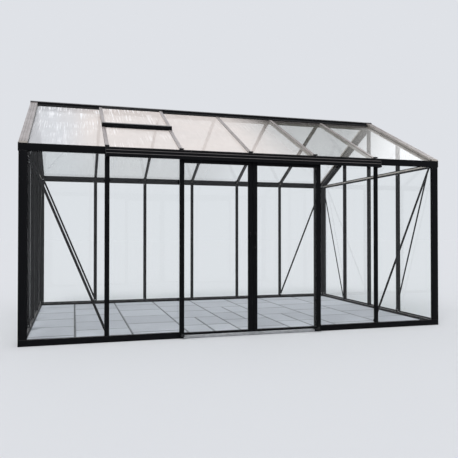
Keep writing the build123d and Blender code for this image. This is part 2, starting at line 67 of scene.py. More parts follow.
# Daylight
# An even overcast sky with a weak, very soft sun high on the left. The eye sees a pale backdrop, and so do
# metal and glass, apart from a dark patch and a bright one beyond the right-hand end, which only
# reflections show. What falls on matt surfaces is dimmer, so that colours come out as written.
backdrop_colour = (0.74, 0.76, 0.80, 1)
dark_patch = {"turn": radians(32), "rise": radians(36), "width": radians(9)}
dark_patch_colour = (0.07, 0.08, 0.06, 1)
bright_patch = {"turn": radians(55), "rise": radians(32), "width": radians(14)}
bright_patch_colour = (1.55, 1.56, 1.58, 1)
patch_softness = radians(3)
sky_light_colour = (0.93, 0.96, 1.0, 1)
sky_light_strength = 0.62
sun_strength = 1.5
sun_width = radians(25)
sun_direction = (radians(38), 0, radians(-32))


def put(entry, value):
    """Links a socket to a node's input, or sets a number or colour on it."""
    if isinstance(value, bpy.types.NodeSocket):
        entry.id_data.links.new(value, entry)
    else:
        entry.default_value = value


def feed(node, **values):
    """Puts values into a node's inputs, whose names are written with underscores; returns the node."""
    for label, value in values.items():
        put(node.inputs[label.replace("_", " ")], value)
    return node


def arithmetic(operation, *terms, clamp=False):
    """Math node on numbers and sockets, at least one of them a socket; returns its result."""
    tree = next(term for term in terms if isinstance(term, bpy.types.NodeSocket)).id_data
    node = tree.nodes.new("ShaderNodeMath")
    node.operation = operation
    node.use_clamp = clamp
    for entry, term in zip(node.inputs, terms):
        put(entry, term)
    return node.outputs["Value"]


def ramp(value, low, high, first=0.0, last=1.0):
    """Value carried from the range low to high onto first to last, and held there."""
    node = value.id_data.nodes.new("ShaderNodeMapRange")
    return feed(node, Value=value, From_Min=low, From_Max=high, To_Min=first, To_Max=last).outputs["Result"]


def blend_colour(share, first, second):
    """Colour between two sockets or colours, by a share that is a socket."""
    node = share.id_data.nodes.new("ShaderNodeMix")
    node.data_type = "RGBA"
    put(node.inputs["Factor"], share)
    colours = [entry for entry in node.inputs if entry.type == "RGBA"]
    put(colours[0], first)
    put(colours[1], second)
    return [result for result in node.outputs if result.type == "RGBA"][0]


def mix_shaders(share, first, second):
    """Shader between two others, by a share that is a socket."""
    node = feed(share.id_data.nodes.new("ShaderNodeMixShader"), Fac=share)
    put(node.inputs[1], first)
    put(node.inputs[2], second)
    return node.outputs["Shader"]


def sky_patch(direction, turn, rise, width):
    """Share of a round patch of sky, from the dot product of the view's direction and the patch's middle."""
    node = direction.id_data.nodes.new("ShaderNodeVectorMath")
    node.operation = "DOT_PRODUCT"
    put(node.inputs[0], direction)
    put(node.inputs[1], (sin(turn) * cos(rise), cos(turn) * cos(rise), sin(rise)))
    return ramp(node.outputs["Value"], cos(width + patch_softness), cos(width - patch_softness))


sky = bpy.data.worlds.new("overcast_sky")
sky.use_nodes = True
sky_nodes = sky.node_tree.nodes
sky_nodes.clear()
ray_kind = sky_nodes.new("ShaderNodeLightPath").outputs
direction = sky_nodes.new("ShaderNodeTexCoord").outputs["Generated"]
mirrored = blend_colour(sky_patch(direction, **dark_patch), backdrop_colour, dark_patch_colour)
mirrored = blend_colour(sky_patch(direction, **bright_patch), mirrored, bright_patch_colour)
seen_colour = blend_colour(ray_kind["Is Glossy Ray"], backdrop_colour, mirrored)
sky_seen = feed(sky_nodes.new("ShaderNodeBackground"), Color=seen_colour).outputs["Background"]
sky_falls = feed(
    sky_nodes.new("ShaderNodeBackground"), Color=sky_light_colour, Strength=sky_light_strength
).outputs["Background"]
sky_light = mix_shaders(ray_kind["Is Diffuse Ray"], sky_seen, sky_falls)
feed(sky_nodes.new("ShaderNodeOutputWorld"), Surface=sky_light)
bpy.context.scene.world = sky

sun_data = bpy.data.lights.new("soft_sun", "SUN")
sun_data.energy = sun_strength
sun_data.angle = sun_width
sun = bpy.data.objects.new("soft_sun", sun_data)
sun.rotation_euler = sun_direction
bpy.context.scene.collection.objects.link(sun)

# Studio floor
# A plain pale surface, large enough to reach the horizon, which takes the shadow of the house. It lies
# half a millimetre lower than the house's foot.
ground_reach = 120.0
ground_colour = (0.763, 0.767, 0.786, 1)
ground_drop = 0.0005
ground_roughness = 0.9
doubles_distance = 1e-6


def new_material(name):
    """Material, its Principled shader, and its object coordinates, the frame's own metres on every piece."""
    material = bpy.data.materials.new(name)
    material.use_nodes = True
    found = material.node_tree.nodes
    return material, found["Principled BSDF"], found.new("ShaderNodeTexCoord").outputs["Object"]


def grid_faces(rows, columns, wrap_rows=False, wrap_columns=False):
    """Quads of a grid of points stored row by row; a wrapped grid closes on itself in that direction."""
    i, j = np.meshgrid(
        np.arange(rows if wrap_rows else rows - 1),
        np.arange(columns if wrap_columns else columns - 1),
        indexing="ij",
    )
    below = (i + 1) % rows
    beside = (j + 1) % columns
    quads = [i * columns + j, i * columns + beside, below * columns + beside, below * columns + j]
    return np.stack(quads, -1).reshape(-1, 4)


def build_mesh(name, shape, closed=True, **point_values):
    """Object from a shape, which is an array of points and a list of face arrays.

    Further arrays become attributes of the points. A closed shape gets its doubles merged and its faces
    turned outwards.
    """
    points, faces = shape
    mesh = bpy.data.meshes.new(name)
    mesh.from_pydata(points.reshape(-1, 3).tolist(), [], [face for group in faces for face in group.tolist()])
    for label, values in point_values.items():
        layer = mesh.attributes.new(label, "FLOAT", "POINT")
        layer.data.foreach_set("value", np.ravel(values).astype(np.float32))
    if closed:
        work = bmesh.new()
        work.from_mesh(mesh)
        bmesh.ops.remove_doubles(work, verts=work.verts, dist=doubles_distance)
        bmesh.ops.recalc_face_normals(work, faces=work.faces)
        work.to_mesh(mesh)
        work.free()
    shape_object = bpy.data.objects.new(name, mesh)
    bpy.context.scene.collection.objects.link(shape_object)
    return shape_object


ground_material, ground_shader, _ = new_material("pale_ground")
feed(ground_shader, Base_Color=ground_colour, Roughness=ground_roughness)
ground_x, ground_y = np.meshgrid([-ground_reach, ground_reach], [-ground_reach, ground_reach])
ground_points = np.stack([ground_x, ground_y, np.full_like(ground_x, -ground_drop)], -1)
ground = build_mesh("ground", (ground_points, [grid_faces(2, 2)]), closed=False)
ground.data.materials.append(ground_material)

# Paved floor
# Pale concrete slabs laid in sand inside the base frame, in columns from front to back whose cross joints
# are staggered. They start whole at the right wall and are cut at the left one, and a few are halved
# lengthwise. Their edges are eased, and stay dark from the damp joints.
slab_width = 0.577
slab_length = 0.57
first_long_joint = -1.785
long_joint_count = 7
first_cross_joints = (-1.135, -0.85)
halved_slabs = {(3, 0), (3, 1), (4, 2), (4, 3), (5, 0), (5, 1)}
joint_width = 0.008
slab_corner = 0.004
slab_ease = 0.003
rim_width = 0.010
slab_unevenness = 0.0010
slab_seed = 11
sand_below_top = 0.0070
sand_ripple = 0.0006
sand_waves = (31, 17, 23)
sand_steps = (120, 90)
slab_colour = (0.600, 0.615, 0.665, 1)
slab_dark_colour = (0.495, 0.505, 0.550, 1)
slab_rim_colour = (0.190, 0.196, 0.212, 1)
sand_colour = (0.055, 0.054, 0.054, 1)
sand_light_colour = (0.12, 0.115, 0.11, 1)
smooth_angle = radians(38)


def copies(points, faces):
    """Many like pieces, whose points are stored piece by piece, from the faces of the first."""
    stride = points[0].size // 3
    starts = np.arange(len(points))[:, None, None] * stride
    return points.reshape(-1, 3), [(group[None] + starts).reshape(-1, group.shape[1]) for group in faces]


def corner_rays(turns):
    """Directions round a circle, quarter by quarter, and the signs of the quarter that each is in."""
    angle = (np.arange(4)[:, None] * pi / 2 + np.linspace(0, pi / 2, turns + 1)).ravel()
    signs = np.repeat([(1, 1), (-1, 1), (-1, -1), (1, -1)], turns + 1, axis=0)
    return np.stack([np.cos(angle), np.sin(angle)], -1), signs


def eased_blocks(lows, highs, corner, ease, rim, turns=4):
    """Blocks with rounded upright corners and a rounded top edge, and a value that is 1 on that edge.

    Each ring is the block's half size less the corner radius, with the quadrant's signs, plus the radius
    less the ring's inset along the angle. The insets follow a quarter circle over the edge, then a step
    of the rim's width, and the last ring is the middle.
    """
    ray, signs = corner_rays(turns)
    turn = np.linspace(0, pi / 2, turns + 1)
    insets = np.concatenate([[0, 0], ease * (1 - np.cos(turn[1:])), [ease + rim]])
    drops = np.concatenate([[0, ease], ease * (1 - np.sin(turn[1:])), [0]])
    shine = np.concatenate([[0, 0.5], np.ones(turns), [0]])
    middle = (lows + highs)[:, None, None, :2] / 2
    half = (highs - lows)[:, None, None, :2] / 2
    core = half - np.maximum(corner, insets)[None, :, None, None]
    flat = middle + core * signs + np.maximum(corner - insets, 0)[:, None, None] * ray
    heights = highs[:, None, 2] - drops
    heights[:, 0] = lows[:, 2]
    points = np.concatenate([flat, np.broadcast_to(heights[..., None, None], flat.shape[:3] + (1,))], -1)
    pole = np.broadcast_to(highs[:, None, None], (len(lows), 1, len(ray), 3)).copy()
    pole[..., :2] = middle
    foot = pole.copy()
    foot[..., 2] = lows[:, None, None, 2]
    points = np.concatenate([foot, points, pole], 1)
    values = np.concatenate([[0], shine, [0]])
    values = np.broadcast_to(values[None, :, None], points.shape[:3])
    return copies(points, [grid_faces(points.shape[1], len(ray), wrap_columns=True)]), values


def noise(place, scale, detail=2.0, stretch=(1, 1, 1), shift=0.0):
    """Noise pattern on a place, stretched along the axes with a Mapping node."""
    node = place.id_data.nodes.new("ShaderNodeMapping")
    mapping = feed(node, Vector=place, Scale=stretch, Location=(shift, shift * 1.7, shift * 0.6))
    texture = place.id_data.nodes.new("ShaderNodeTexNoise")
    return feed(texture, Vector=mapping.outputs["Vector"], Scale=scale, Detail=detail).outputs["Fac"]


def point_value(shader, label):
    """Value that a mesh stores on its points."""
    node = shader.id_data.nodes.new("ShaderNodeAttribute")
    node.attribute_name = label
    return node.outputs["Fac"]


def new_group(name, entries, results):
    """Shader node group of values that reads a Place; returned with its inner inputs and its output node."""
    group = bpy.data.node_groups.new(name, "ShaderNodeTree")
    for in_out, labels in (("INPUT", entries), ("OUTPUT", results)):
        for label in labels:
            kind = "NodeSocketVector" if label == "Place" else "NodeSocketFloat"
            group.interface.new_socket(label, in_out=in_out, socket_type=kind)
    return group, group.nodes.new("NodeGroupInput").outputs, group.nodes.new("NodeGroupOutput")


def use_group(group, place, **values):
    """Outputs of a group that reads a place and the values given."""
    node = place.id_data.nodes.new("ShaderNodeGroup")
    node.node_tree = group
    return feed(node, Place=place, **values).outputs


def bump(height, strength, distance):
    """Normal from a height, for a shader's Normal socket."""
    node = height.id_data.nodes.new("ShaderNodeBump")
    return feed(node, Height=height, Strength=strength, Distance=distance).outputs["Normal"]


# Fine grain: two sizes of noise added, for cast, coated and moulded surfaces. Clouding: broad soft
# patches, and small specks where a fine noise is high, for stains, dust and uneven gloss.
fine_grain, grain_in, grain_out = new_group("fine_grain", ["Place", "Scale"], ["Height"])
grain_coarse = noise(grain_in["Place"], grain_in["Scale"])
grain_fine = noise(grain_in["Place"], arithmetic("MULTIPLY", grain_in["Scale"], 3.1), 1.0, shift=5.0)
feed(grain_out, Height=arithmetic("MULTIPLY_ADD", grain_fine, 0.35, grain_coarse))

clouding, clouding_in, clouding_out = new_group(
    "clouding", ["Place", "Patch Scale", "Speck Scale"], ["Patches", "Specks"]
)
patch_noise = noise(clouding_in["Place"], clouding_in["Patch Scale"], 4.0, shift=2.0)
speck_noise = noise(clouding_in["Place"], clouding_in["Speck Scale"], 1.0, shift=9.0)
feed(clouding_out, Patches=ramp(patch_noise, 0.34, 0.66), Specks=ramp(speck_noise, 0.60, 0.74))


def grain_on(place, scale):
    """Height of the fine grain at a scale."""
    return use_group(fine_grain, place, Scale=scale)["Height"]


def clouds_on(place, patch_scale, speck_scale):
    """Patches and specks of the clouding at two scales."""
    return use_group(clouding, place, Patch_Scale=patch_scale, Speck_Scale=speck_scale)


def slab_concrete():
    """Cast concrete: blotched, each slab of its own tone, with small pores and rims stained dark."""
    material, shader, place = new_material("slab_concrete")
    clouds = clouds_on(place, 3.2, 240.0)
    stains = clouds_on(place, 14.0, 90.0)
    grain = grain_on(place, 420.0)
    shade = arithmetic("MULTIPLY", point_value(shader, "tone"), 0.55)
    shade = arithmetic("MULTIPLY_ADD", clouds["Patches"], 0.30, shade)
    shade = arithmetic("MULTIPLY_ADD", stains["Patches"], 0.18, shade)
    shade = arithmetic("MULTIPLY_ADD", clouds["Specks"], 0.30, shade, clamp=True)
    colour = blend_colour(shade, slab_colour, slab_dark_colour)
    stained = arithmetic("MULTIPLY", point_value(shader, "rim"), ramp(stains["Patches"], 0, 1, 1.0, 0.7))
    pitted = arithmetic("MULTIPLY_ADD", clouds["Specks"], -0.8, grain)
    feed(
        shader,
        Base_Color=blend_colour(stained, colour, slab_rim_colour),
        Roughness=ramp(grain, 0.3, 1.0, 0.78, 0.93),
        Normal=bump(pitted, 0.35, 0.0010),
        Specular_IOR_Level=0.3,
    )
    return material


def jointing_sand():
    """Loose sand: two tones of grain and a rough bump."""
    material, shader, place = new_material("jointing_sand")
    grain = grain_on(place, 700.0)
    feed(
        shader,
        Base_Color=blend_colour(ramp(grain, 0.45, 0.9), sand_colour, sand_light_colour),
        Roughness=ramp(grain, 0.3, 1.0, 0.85, 0.97),
        Normal=bump(grain, 0.8, 0.0012),
    )
    return material


def add_piece(name, shape, material, slot, body="house", closed=True, **point_values):
    """Piece of the scene with its finish, fixed to a body of the frame."""
    piece = build_mesh(name, shape, closed, **point_values)
    piece.data.materials.append(material)
    piece.data.shade_smooth()
    piece.data.set_sharp_from_angle(angle=smooth_angle)
    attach(piece, body)
    return piece


floor_low, floor_high = np.array(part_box("paved_floor"))
long_joints = first_long_joint + slab_width * np.arange(long_joint_count)
column_edges = np.concatenate([[floor_low[0]], long_joints, [floor_high[0]]])
slab_lows = []
slab_highs = []
for column in range(len(column_edges) - 1):
    cross_joints = np.arange(first_cross_joints[column % 2], floor_high[1] - joint_width, slab_length)
    row_edges = np.concatenate([[floor_low[1]], cross_joints, [floor_high[1]]])
    for row in range(len(row_edges) - 1):
        sides = list(column_edges[column:column + 2])
        if (column, row) in halved_slabs:
            sides.insert(1, sum(sides) / 2)
        for left, right in zip(sides, sides[1:]):
            slab_lows.append((left, row_edges[row], floor_low[2]))
            slab_highs.append((right, row_edges[row + 1], floor_high[2]))
half_joint = np.array([joint_width, joint_width, 0]) / 2
slab_lows = np.array(slab_lows) + half_joint
slab_highs = np.array(slab_highs) - half_joint
chance = np.random.default_rng(slab_seed)
slab_highs[:, 2] -= chance.uniform(0, slab_unevenness, len(slab_highs))
slab_shape, slab_rims = eased_blocks(slab_lows, slab_highs, slab_corner, slab_ease, rim_width)
slab_tones = np.broadcast_to(chance.uniform(0, 1, len(slab_lows))[:, None, None], slab_rims.shape)
slabs = add_piece(
    "floor_slabs", slab_shape, slab_concrete(), "concrete_slabs", rim=slab_rims, tone=slab_tones
)
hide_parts("paved_floor")

# The sand bed is one closed body: its section runs along the rippled top and back underneath, and is
# carried along X. The height is the bed's top plus two crossing sine waves.
sand_x = np.linspace(floor_low[0], floor_high[0], sand_steps[0])[:, None]
sand_y = np.linspace(floor_low[1], floor_high[1], sand_steps[1])[None, :]
ripples = np.sin(sand_waves[0] * sand_x + sand_waves[1] * sand_y) + np.sin(sand_waves[2] * sand_y)
sand_z = floor_high[2] - sand_below_top + sand_ripple * ripples
sand_top = np.stack(np.broadcast_arrays(sand_x, sand_y, sand_z), -1)
sand_under = sand_top[:, [-1, 0]].copy()
sand_under[..., 2] = floor_low[2]
sand_points = np.concatenate([sand_top, sand_under], 1)
sand_ring = np.arange(sand_points.shape[1])
sand_faces = [
    grid_faces(*sand_points.shape[:2], wrap_columns=True),
    sand_ring[None],
    (sand_points.shape[0] - 1) * sand_points.shape[1] + sand_ring[None],
]
add_piece("sand_bed", (sand_points, sand_faces), jointing_sand(), "concrete_slabs")

# Door threshold
# A ribbed mill-finish aluminium strip between the two front sills, with a rounded nose, level with the
# floor and held by four screws sunk a little into it. Its surface is drawn lengthwise and dull in patches.
rib_spacing = 0.0062
rib_height = 0.0011
nose_radius = 0.004
tread_steps = 97
nose_steps = 7
threshold_screws = (-0.6, -0.2, 0.2, 0.6)
threshold_screw_radius = 0.0045
threshold_screw_sink = 0.0008
head_steps = 18
aluminium_roughness = 0.42
aluminium_lines = (6, 700, 700)
zinc_roughness = 0.40
zinc_lines = (160, 160, 160)
aluminium_colour = (0.60, 0.61, 0.63, 1)
aluminium_dull_colour = (0.40, 0.40, 0.41, 1)
zinc_colour = (0.50, 0.51, 0.53, 1)
zinc_dull_colour = (0.36, 0.36, 0.35, 1)


def prisms(section, middles, across, up, lengths):
    """Straight runs of one section with flat ends.

    A point is the run's middle, plus the section's first number times the across direction, plus its
    second times up, plus or minus half the length along the direction square to both.
    """
    section = np.asarray(section, float)
    middles = np.atleast_2d(np.asarray(middles, float))
    across = np.broadcast_to(np.asarray(across, float), middles.shape)
    up = np.broadcast_to(np.asarray(up, float), middles.shape)
    along = np.cross(across, up) * np.broadcast_to(np.asarray(lengths, float) / 2, len(middles))[:, None]
    ring = middles[:, None] + section[:, :1] * across[:, None] + section[:, 1:] * up[:, None]
    points = np.stack([ring - along[:, None], ring + along[:, None]], 1)
    size = len(section)
    return copies(
        points, [grid_faces(2, size, wrap_columns=True), np.arange(size)[None], size + np.arange(size)[None]]
    )


def turned(places, axes, profile, steps=20, flats=6):
    """Surfaces of revolution, whose profile is rows of a radius, a height along the axis and a share.

    A point is the place, plus the height along the axis, plus the radius times the cosine and the sine of
    the angle along two directions square to it. In a row whose share is 1 the radius is divided by the
    cosine of the angle from the middle of the nearest flat, which makes a polygon; at 0 it stays round.
    """
    places = np.atleast_2d(np.asarray(places, float))
    axes = np.broadcast_to(np.asarray(axes, float), places.shape)
    helper = np.where(np.abs(axes[:, 2:]) < 0.9, (0.0, 0.0, 1.0), (1.0, 0.0, 0.0))
    side = np.cross(axes, helper)
    side /= np.linalg.norm(side, axis=1, keepdims=True)
    other = np.cross(axes, side)
    angle = np.arange(steps) * 2 * pi / steps
    polygon = cos(pi / flats) / np.cos((angle + pi / flats) % (2 * pi / flats) - pi / flats)
    radius, height, share = np.asarray(profile, float).T
    reach = radius[:, None] * (1 + share[:, None] * (polygon - 1))
    wheel = np.cos(angle)[None, :, None] * side[:, None] + np.sin(angle)[None, :, None] * other[:, None]
    points = (
        places[:, None, None]
        + height[None, :, None, None] * axes[:, None, None]
        + reach[None, :, :, None] * wheel[:, None]
    )
    return copies(points, [grid_faces(len(radius), steps, wrap_columns=True)])


def together(*shapes):
    """Several shapes as one."""
    starts = np.cumsum([0] + [len(points) for points, _ in shapes])
    faces = [group + start for (_, groups), start in zip(shapes, starts) for group in groups]
    return np.concatenate([points for points, _ in shapes]), faces


def screw_heads(places, axes, radius):
    """Pan heads, domed at the rim, with a sunk six-sided socket."""
    profile = [(0, -0.3, 0), (1, -0.3, 0), (1, 0.12, 0), (0.86, 0.34, 0), (0.58, 0.42, 0),
               (0.48, 0.42, 1), (0.46, 0.10, 1), (0, 0.10, 0)]
    return turned(places, axes, np.array(profile) * (radius, radius, 1), head_steps)


def bare_metal(name, colour, dull_colour, roughness, brushed):
    """Uncoated metal: drawn lines along one direction, dull oxide patches and scuffs."""
    material, shader, place = new_material(name)
    lines = noise(place, 1.0, 3.0, brushed)
    clouds = clouds_on(place, 18.0, 300.0)
    dull = arithmetic("MULTIPLY_ADD", clouds["Specks"], 0.4, clouds["Patches"], clamp=True)
    dull = arithmetic("MULTIPLY", dull, 0.55)
    streaked = blend_colour(ramp(lines, 0.35, 0.65, 0.0, 0.5), colour, dull_colour)
    gloss = ramp(lines, 0.3, 0.7, roughness - 0.06, roughness)
    feed(
        shader,
        Base_Color=blend_colour(dull, streaked, dull_colour),
        Roughness=arithmetic("MULTIPLY_ADD", dull, 0.3, gloss),
        Normal=bump(lines, 0.12, 0.0003),
        Metallic=1.0,
    )
    return material


step_low, step_high = np.array(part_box("door_threshold"))
tread_y = np.linspace(step_low[1] + nose_radius, step_high[1], tread_steps)
tread_z = step_high[2] - rib_height * (0.5 + 0.5 * np.cos(2 * pi * (tread_y - tread_y[0]) / rib_spacing))
nose_angle = np.linspace(pi, pi / 2, nose_steps)
nose_y = step_low[1] + nose_radius * (1 + np.cos(nose_angle))
nose_z = step_high[2] - rib_height - nose_radius * (1 - np.sin(nose_angle))
tread_section = np.concatenate([
    [(step_high[1], step_low[2]), (step_low[1], step_low[2])],
    np.stack([nose_y, nose_z], -1)[:-1],
    np.stack([tread_y, tread_z], -1),
])
mill_aluminium = bare_metal(
    "mill_aluminium", aluminium_colour, aluminium_dull_colour, aluminium_roughness, aluminium_lines
)
threshold = add_piece(
    "ribbed_threshold",
    prisms(tread_section, (0, 0, 0), (0, 1, 0), (0, 0, 1), step_high[0] - step_low[0]),
    mill_aluminium,
    "bare_aluminium",
)
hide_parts("door_threshold")
zinc_steel = bare_metal("zinc_plated_steel", zinc_colour, zinc_dull_colour, zinc_roughness, zinc_lines)
screw_places = [
    (x, (step_low[1] + step_high[1]) / 2, step_high[2] - threshold_screw_sink) for x in threshold_screws
]
threshold_heads = screw_heads(screw_places, (0, 0, 1), threshold_screw_radius)
add_piece("threshold_screws", threshold_heads, zinc_steel, "roller_steel")

# Base sills
# Black powder-coated aluminium sills lie flat under the walls, mitred at the corners. Small pressed
# angles, bolted both ways, tie the posts and bars to them, and to the eave beams above.
coat_colour = (0.0042, 0.0045, 0.0054, 1)
coat_roughness = 0.34
coat_reflection = 0.05
film_gloss_index = 1.9
# The pale colour is partly rain marks and partly a painted reflection of the sky on faces that look up. The
# warmer colour after it is a painted reflection on upright faces of roof members.
pale_film_and_reflection_colour = (0.500, 0.440, 0.425, 1)
painted_side_reflection_colour = (0.780, 0.700, 0.615, 1)
frame_film_and_reflection = 0.14
edge_radius = 0.001
bracket_leg = 0.040
bracket_thickness = 0.003
bracket_width = 0.016
bracket_depth = 0.038
sill_body_top = 0.048
bracket_fillet = 1.8
bracket_edge = 0.0006
bolt_leg_share = 0.62
eave_body_underside = 1.860
post_web_edge = 0.066
bar_web_half = 0.008
bar_tolerance = 0.01
bolt_across_flats = 0.010
bolt_height_share = 0.55
roof_pitch = radians(26)
roof_line_at_face = 1.902
gable_face_from = 1.9
gable_face_to = 2.2
glass_softness = 0.003
ridge_softness = 0.01
# Share of the painted side reflection left on roof members under the glass of the back slope.
side_reflection_share_at_back = 0.12
weld_distance = 1e-5
flat_angle = radians(1)
bevel_angle = radians(30)


def coordinates(place):
    """The three numbers of a place or direction."""
    return feed(place.id_data.nodes.new("ShaderNodeSeparateXYZ"), Vector=place).outputs


half_length, half_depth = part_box("corner_posts")[1][:2]
# Mask of the pale layer. On faces that look up it is partly rain marks and partly a painted reflection of the
# sky. By the share given, upright faces of roof members get a painted reflection too, in the front half,
# above the roof glass and below the eave line. It is kept off the outside of the gables and is faint under
# the back slope's glass.
rain_film_and_painted_reflection, film_and_reflection_in, film_and_reflection_out = new_group("rain_film_and_painted_reflection", ["Place", "Upright Faces"], ["Mask", "Upright"])
normal_x, _, normal_z = coordinates(rain_film_and_painted_reflection.nodes.new("ShaderNodeNewGeometry").outputs["Normal"])
place_x, place_y, place_z = coordinates(film_and_reflection_in["Place"])
facing_sky = ramp(normal_z, 0.30, 0.85)
outward = arithmetic("MULTIPLY", normal_x, place_x)
side_reflection_faces = arithmetic(
    "MULTIPLY", ramp(outward, gable_face_from, gable_face_to, 1.0, 0.0), film_and_reflection_in["Upright Faces"]
)
slope_rise = arithmetic("MULTIPLY_ADD", arithmetic("ABSOLUTE", place_y), tan(roof_pitch), place_z)
glass_level = roof_line_at_face + half_depth * tan(roof_pitch)
over_glass = ramp(slope_rise, glass_level - glass_softness, glass_level)
in_front = ramp(place_y, -ridge_softness, ridge_softness, 1.0, side_reflection_share_at_back)
under_eave = ramp(place_z, roof_line_at_face - glass_softness, roof_line_at_face, 1.0, 0.0)
side_reflection_zone = arithmetic("MAXIMUM", arithmetic("MAXIMUM", over_glass, in_front), under_eave)
facing_side = arithmetic("MULTIPLY", ramp(normal_z, -0.6, -0.1), arithmetic("MULTIPLY", side_reflection_faces, side_reflection_zone))
facing = arithmetic("MAXIMUM", facing_sky, facing_side)
film_and_reflection_clouds = clouds_on(film_and_reflection_in["Place"], 9.0, 170.0)
film_and_reflection_spots = arithmetic("MULTIPLY_ADD", film_and_reflection_clouds["Patches"], 0.25, 0.75)
film_and_reflection_spots = arithmetic("MULTIPLY_ADD", film_and_reflection_clouds["Specks"], 0.25, film_and_reflection_spots)
feed(
    film_and_reflection_out,
    Mask=arithmetic("MULTIPLY", facing, film_and_reflection_spots, clamp=True),
    Upright=arithmetic("SUBTRACT", facing_side, facing_sky, clamp=True),
)


def powder_coat(name, film_and_reflection, upright_faces=0.0, colour=coat_colour):
    """Satin powder coat: dark pigment, orange peel, uneven gloss, and a pale layer on what faces the sky that
    is partly weathered rain marks and partly a painted reflection of the sky; its clear coat shines at a low
    angle.
    Upright faces of roof members get a warmer painted reflection, except on the outside of the gables and
    under the glass of the back slope."""
    material, shader, place = new_material(name)
    film_and_reflection_masks = use_group(rain_film_and_painted_reflection, place, Upright_Faces=upright_faces)
    mask = film_and_reflection_masks["Mask"]
    clouds = clouds_on(place, 5.0, 210.0)
    # Share of the pale colour: small specks, plus the pale layer that is partly painted reflection.
    dust_and_reflection = arithmetic("MULTIPLY_ADD", clouds["Specks"], 0.02, arithmetic("MULTIPLY", mask, film_and_reflection))
    film_and_reflection_tint = blend_colour(film_and_reflection_masks["Upright"], pale_film_and_reflection_colour, painted_side_reflection_colour)
    uneven = ramp(clouds["Patches"], 0.0, 1.0, coat_roughness - 0.05, coat_roughness + 0.07)
    feed(
        shader,
        Base_Color=blend_colour(dust_and_reflection, colour, film_and_reflection_tint),
        Roughness=arithmetic("MULTIPLY_ADD", mask, 0.10, uneven),
        Coat_Weight=mask,
        Coat_Roughness=0.30,
        Coat_IOR=film_gloss_index,
        Specular_IOR_Level=coat_reflection,
        Normal=bump(grain_on(place, 380.0), 0.012, 0.0002),
    )
    return material


def round_edges(shape, width):
    """Rounds the sharp edges of a shape with a bevel of two steps."""
    bevel = shape.modifiers.new("round_edges", "BEVEL")
    bevel.width = width
    bevel.segments = 2
    bevel.limit_method = "ANGLE"
    bevel.angle_limit = bevel_angle
    bevel.harden_normals = True
    shape.data.shade_smooth()


def one_finish(node_name, material):
    """Puts a material alone on a node of the frame; returns the node's object."""
    shape = nodes[node_name]
    shape.data.materials.clear()
    shape.data.materials.append(material)
    return shape


def dress(node_name, material, width=edge_radius):
    """Finish of a node of the frame. Its loose corners are welded and its flat faces joined, so that the
    edges can be rounded."""
    shape = one_finish(node_name, material)
    weld = shape.modifiers.new("weld", "WELD")
    weld.merge_threshold = weld_distance
    flatten = shape.modifiers.new("flatten", "DECIMATE")
    flatten.decimate_type = "DISSOLVE"
    flatten.angle_limit = flat_angle
    round_edges(shape, width)


def solids_of(node_name):
    """Corners of each separate solid of a node, sorted by the solids' middles.

    Corners at one place are numbered alike. Each number then takes the lowest number found across the
    triangles' edges, again and again, until every solid has one number.
    """
    mesh = nodes[node_name].data
    places = np.empty(len(mesh.vertices) * 3, np.float32)
    mesh.vertices.foreach_get("co", places)
    corners, number = np.unique(places.reshape(-1, 3).astype(float).round(5), axis=0, return_inverse=True)
    edges = np.empty(len(mesh.edges) * 2, np.int32)
    mesh.edges.foreach_get("vertices", edges)
    first, second = number.ravel()[edges.reshape(-1, 2)].T
    label = np.arange(len(corners))
    while True:
        lowest = label.copy()
        np.minimum.at(lowest, first, label[second])
        np.minimum.at(lowest, second, label[first])
        lowest = lowest[lowest]
        if (lowest == label).all():
            break
        label = lowest
    solids = [corners[label == value] for value in np.unique(label)]
    return sorted(solids, key=lambda solid: tuple(solid.mean(0).round(3)))


def middle_of(corners):
    """Middle of the box round some corners."""
    return (corners.min(0) + corners.max(0)) / 2


def hex_bolts(places, axes, across_flats=bolt_across_flats):
    """Hexagon heads with a chamfered top on a round washer."""
    corner = across_flats / 2 / cos(pi / 6)
    washer = [(0, 0, 0), (1.12, 0, 0), (1.12, 0.20, 0), (1.06, 0.26, 0), (0, 0.26, 0)]
    head = [(0, 0.26, 0), (1, 0.26, 1), (1, 0.84, 1), (0.86, 1.0, 0), (0, 1.0, 0)]
    scale = (corner, across_flats * bolt_height_share, 1)
    return together(*(turned(places, axes, np.array(row) * scale, head_steps) for row in (washer, head)))


black_coat = powder_coat("black_powder_coat", frame_film_and_reflection)
for name in ("front_base_sills", "back_base_sill", "left_base_sill", "right_base_sill"):
    dress(name, black_coat)

long_axis = np.array((1.0, 0, 0))
deep_axis = np.array((0, 1.0, 0))
up_axis = np.array((0, 0, 1.0))

# Where the angles stand, and which way their feet point: from the posts' webs towards the middle of the
# wall, and from each bar that reaches the sill away from it.
post_places = []
for x in (-1, 1):
    for y in (-1, 1):
        post_places.append((x * (half_length - post_web_edge), y * (half_depth - bracket_depth), -x, 0))
        post_places.append((x * (half_length - bracket_depth), y * (half_depth - post_web_edge), 0, -y))
bar_places = []
for name, along in (("door_posts", 0), ("front_wall_bars", 0), ("back_wall_bars", 0), ("left_gable_bars", 1),
                    ("right_gable_bars", 1)):
    for corners in solids_of(name):
        if corners[:, 2].min() < sill_body_top + bar_tolerance:
            place = middle_of(corners)[:2]
            away = np.zeros(2)
            away[along] = 1 if place[along] > -bar_tolerance else -1
            against_wall = np.sign(place) * (np.array((half_length, half_depth)) - bracket_depth)
            place[1 - along] = against_wall[1 - along]
            bar_places.append((*(place + away * bar_web_half), *away))
foot_places = np.insert(np.array(post_places + bar_places, float), (2, 4), 0, axis=1)
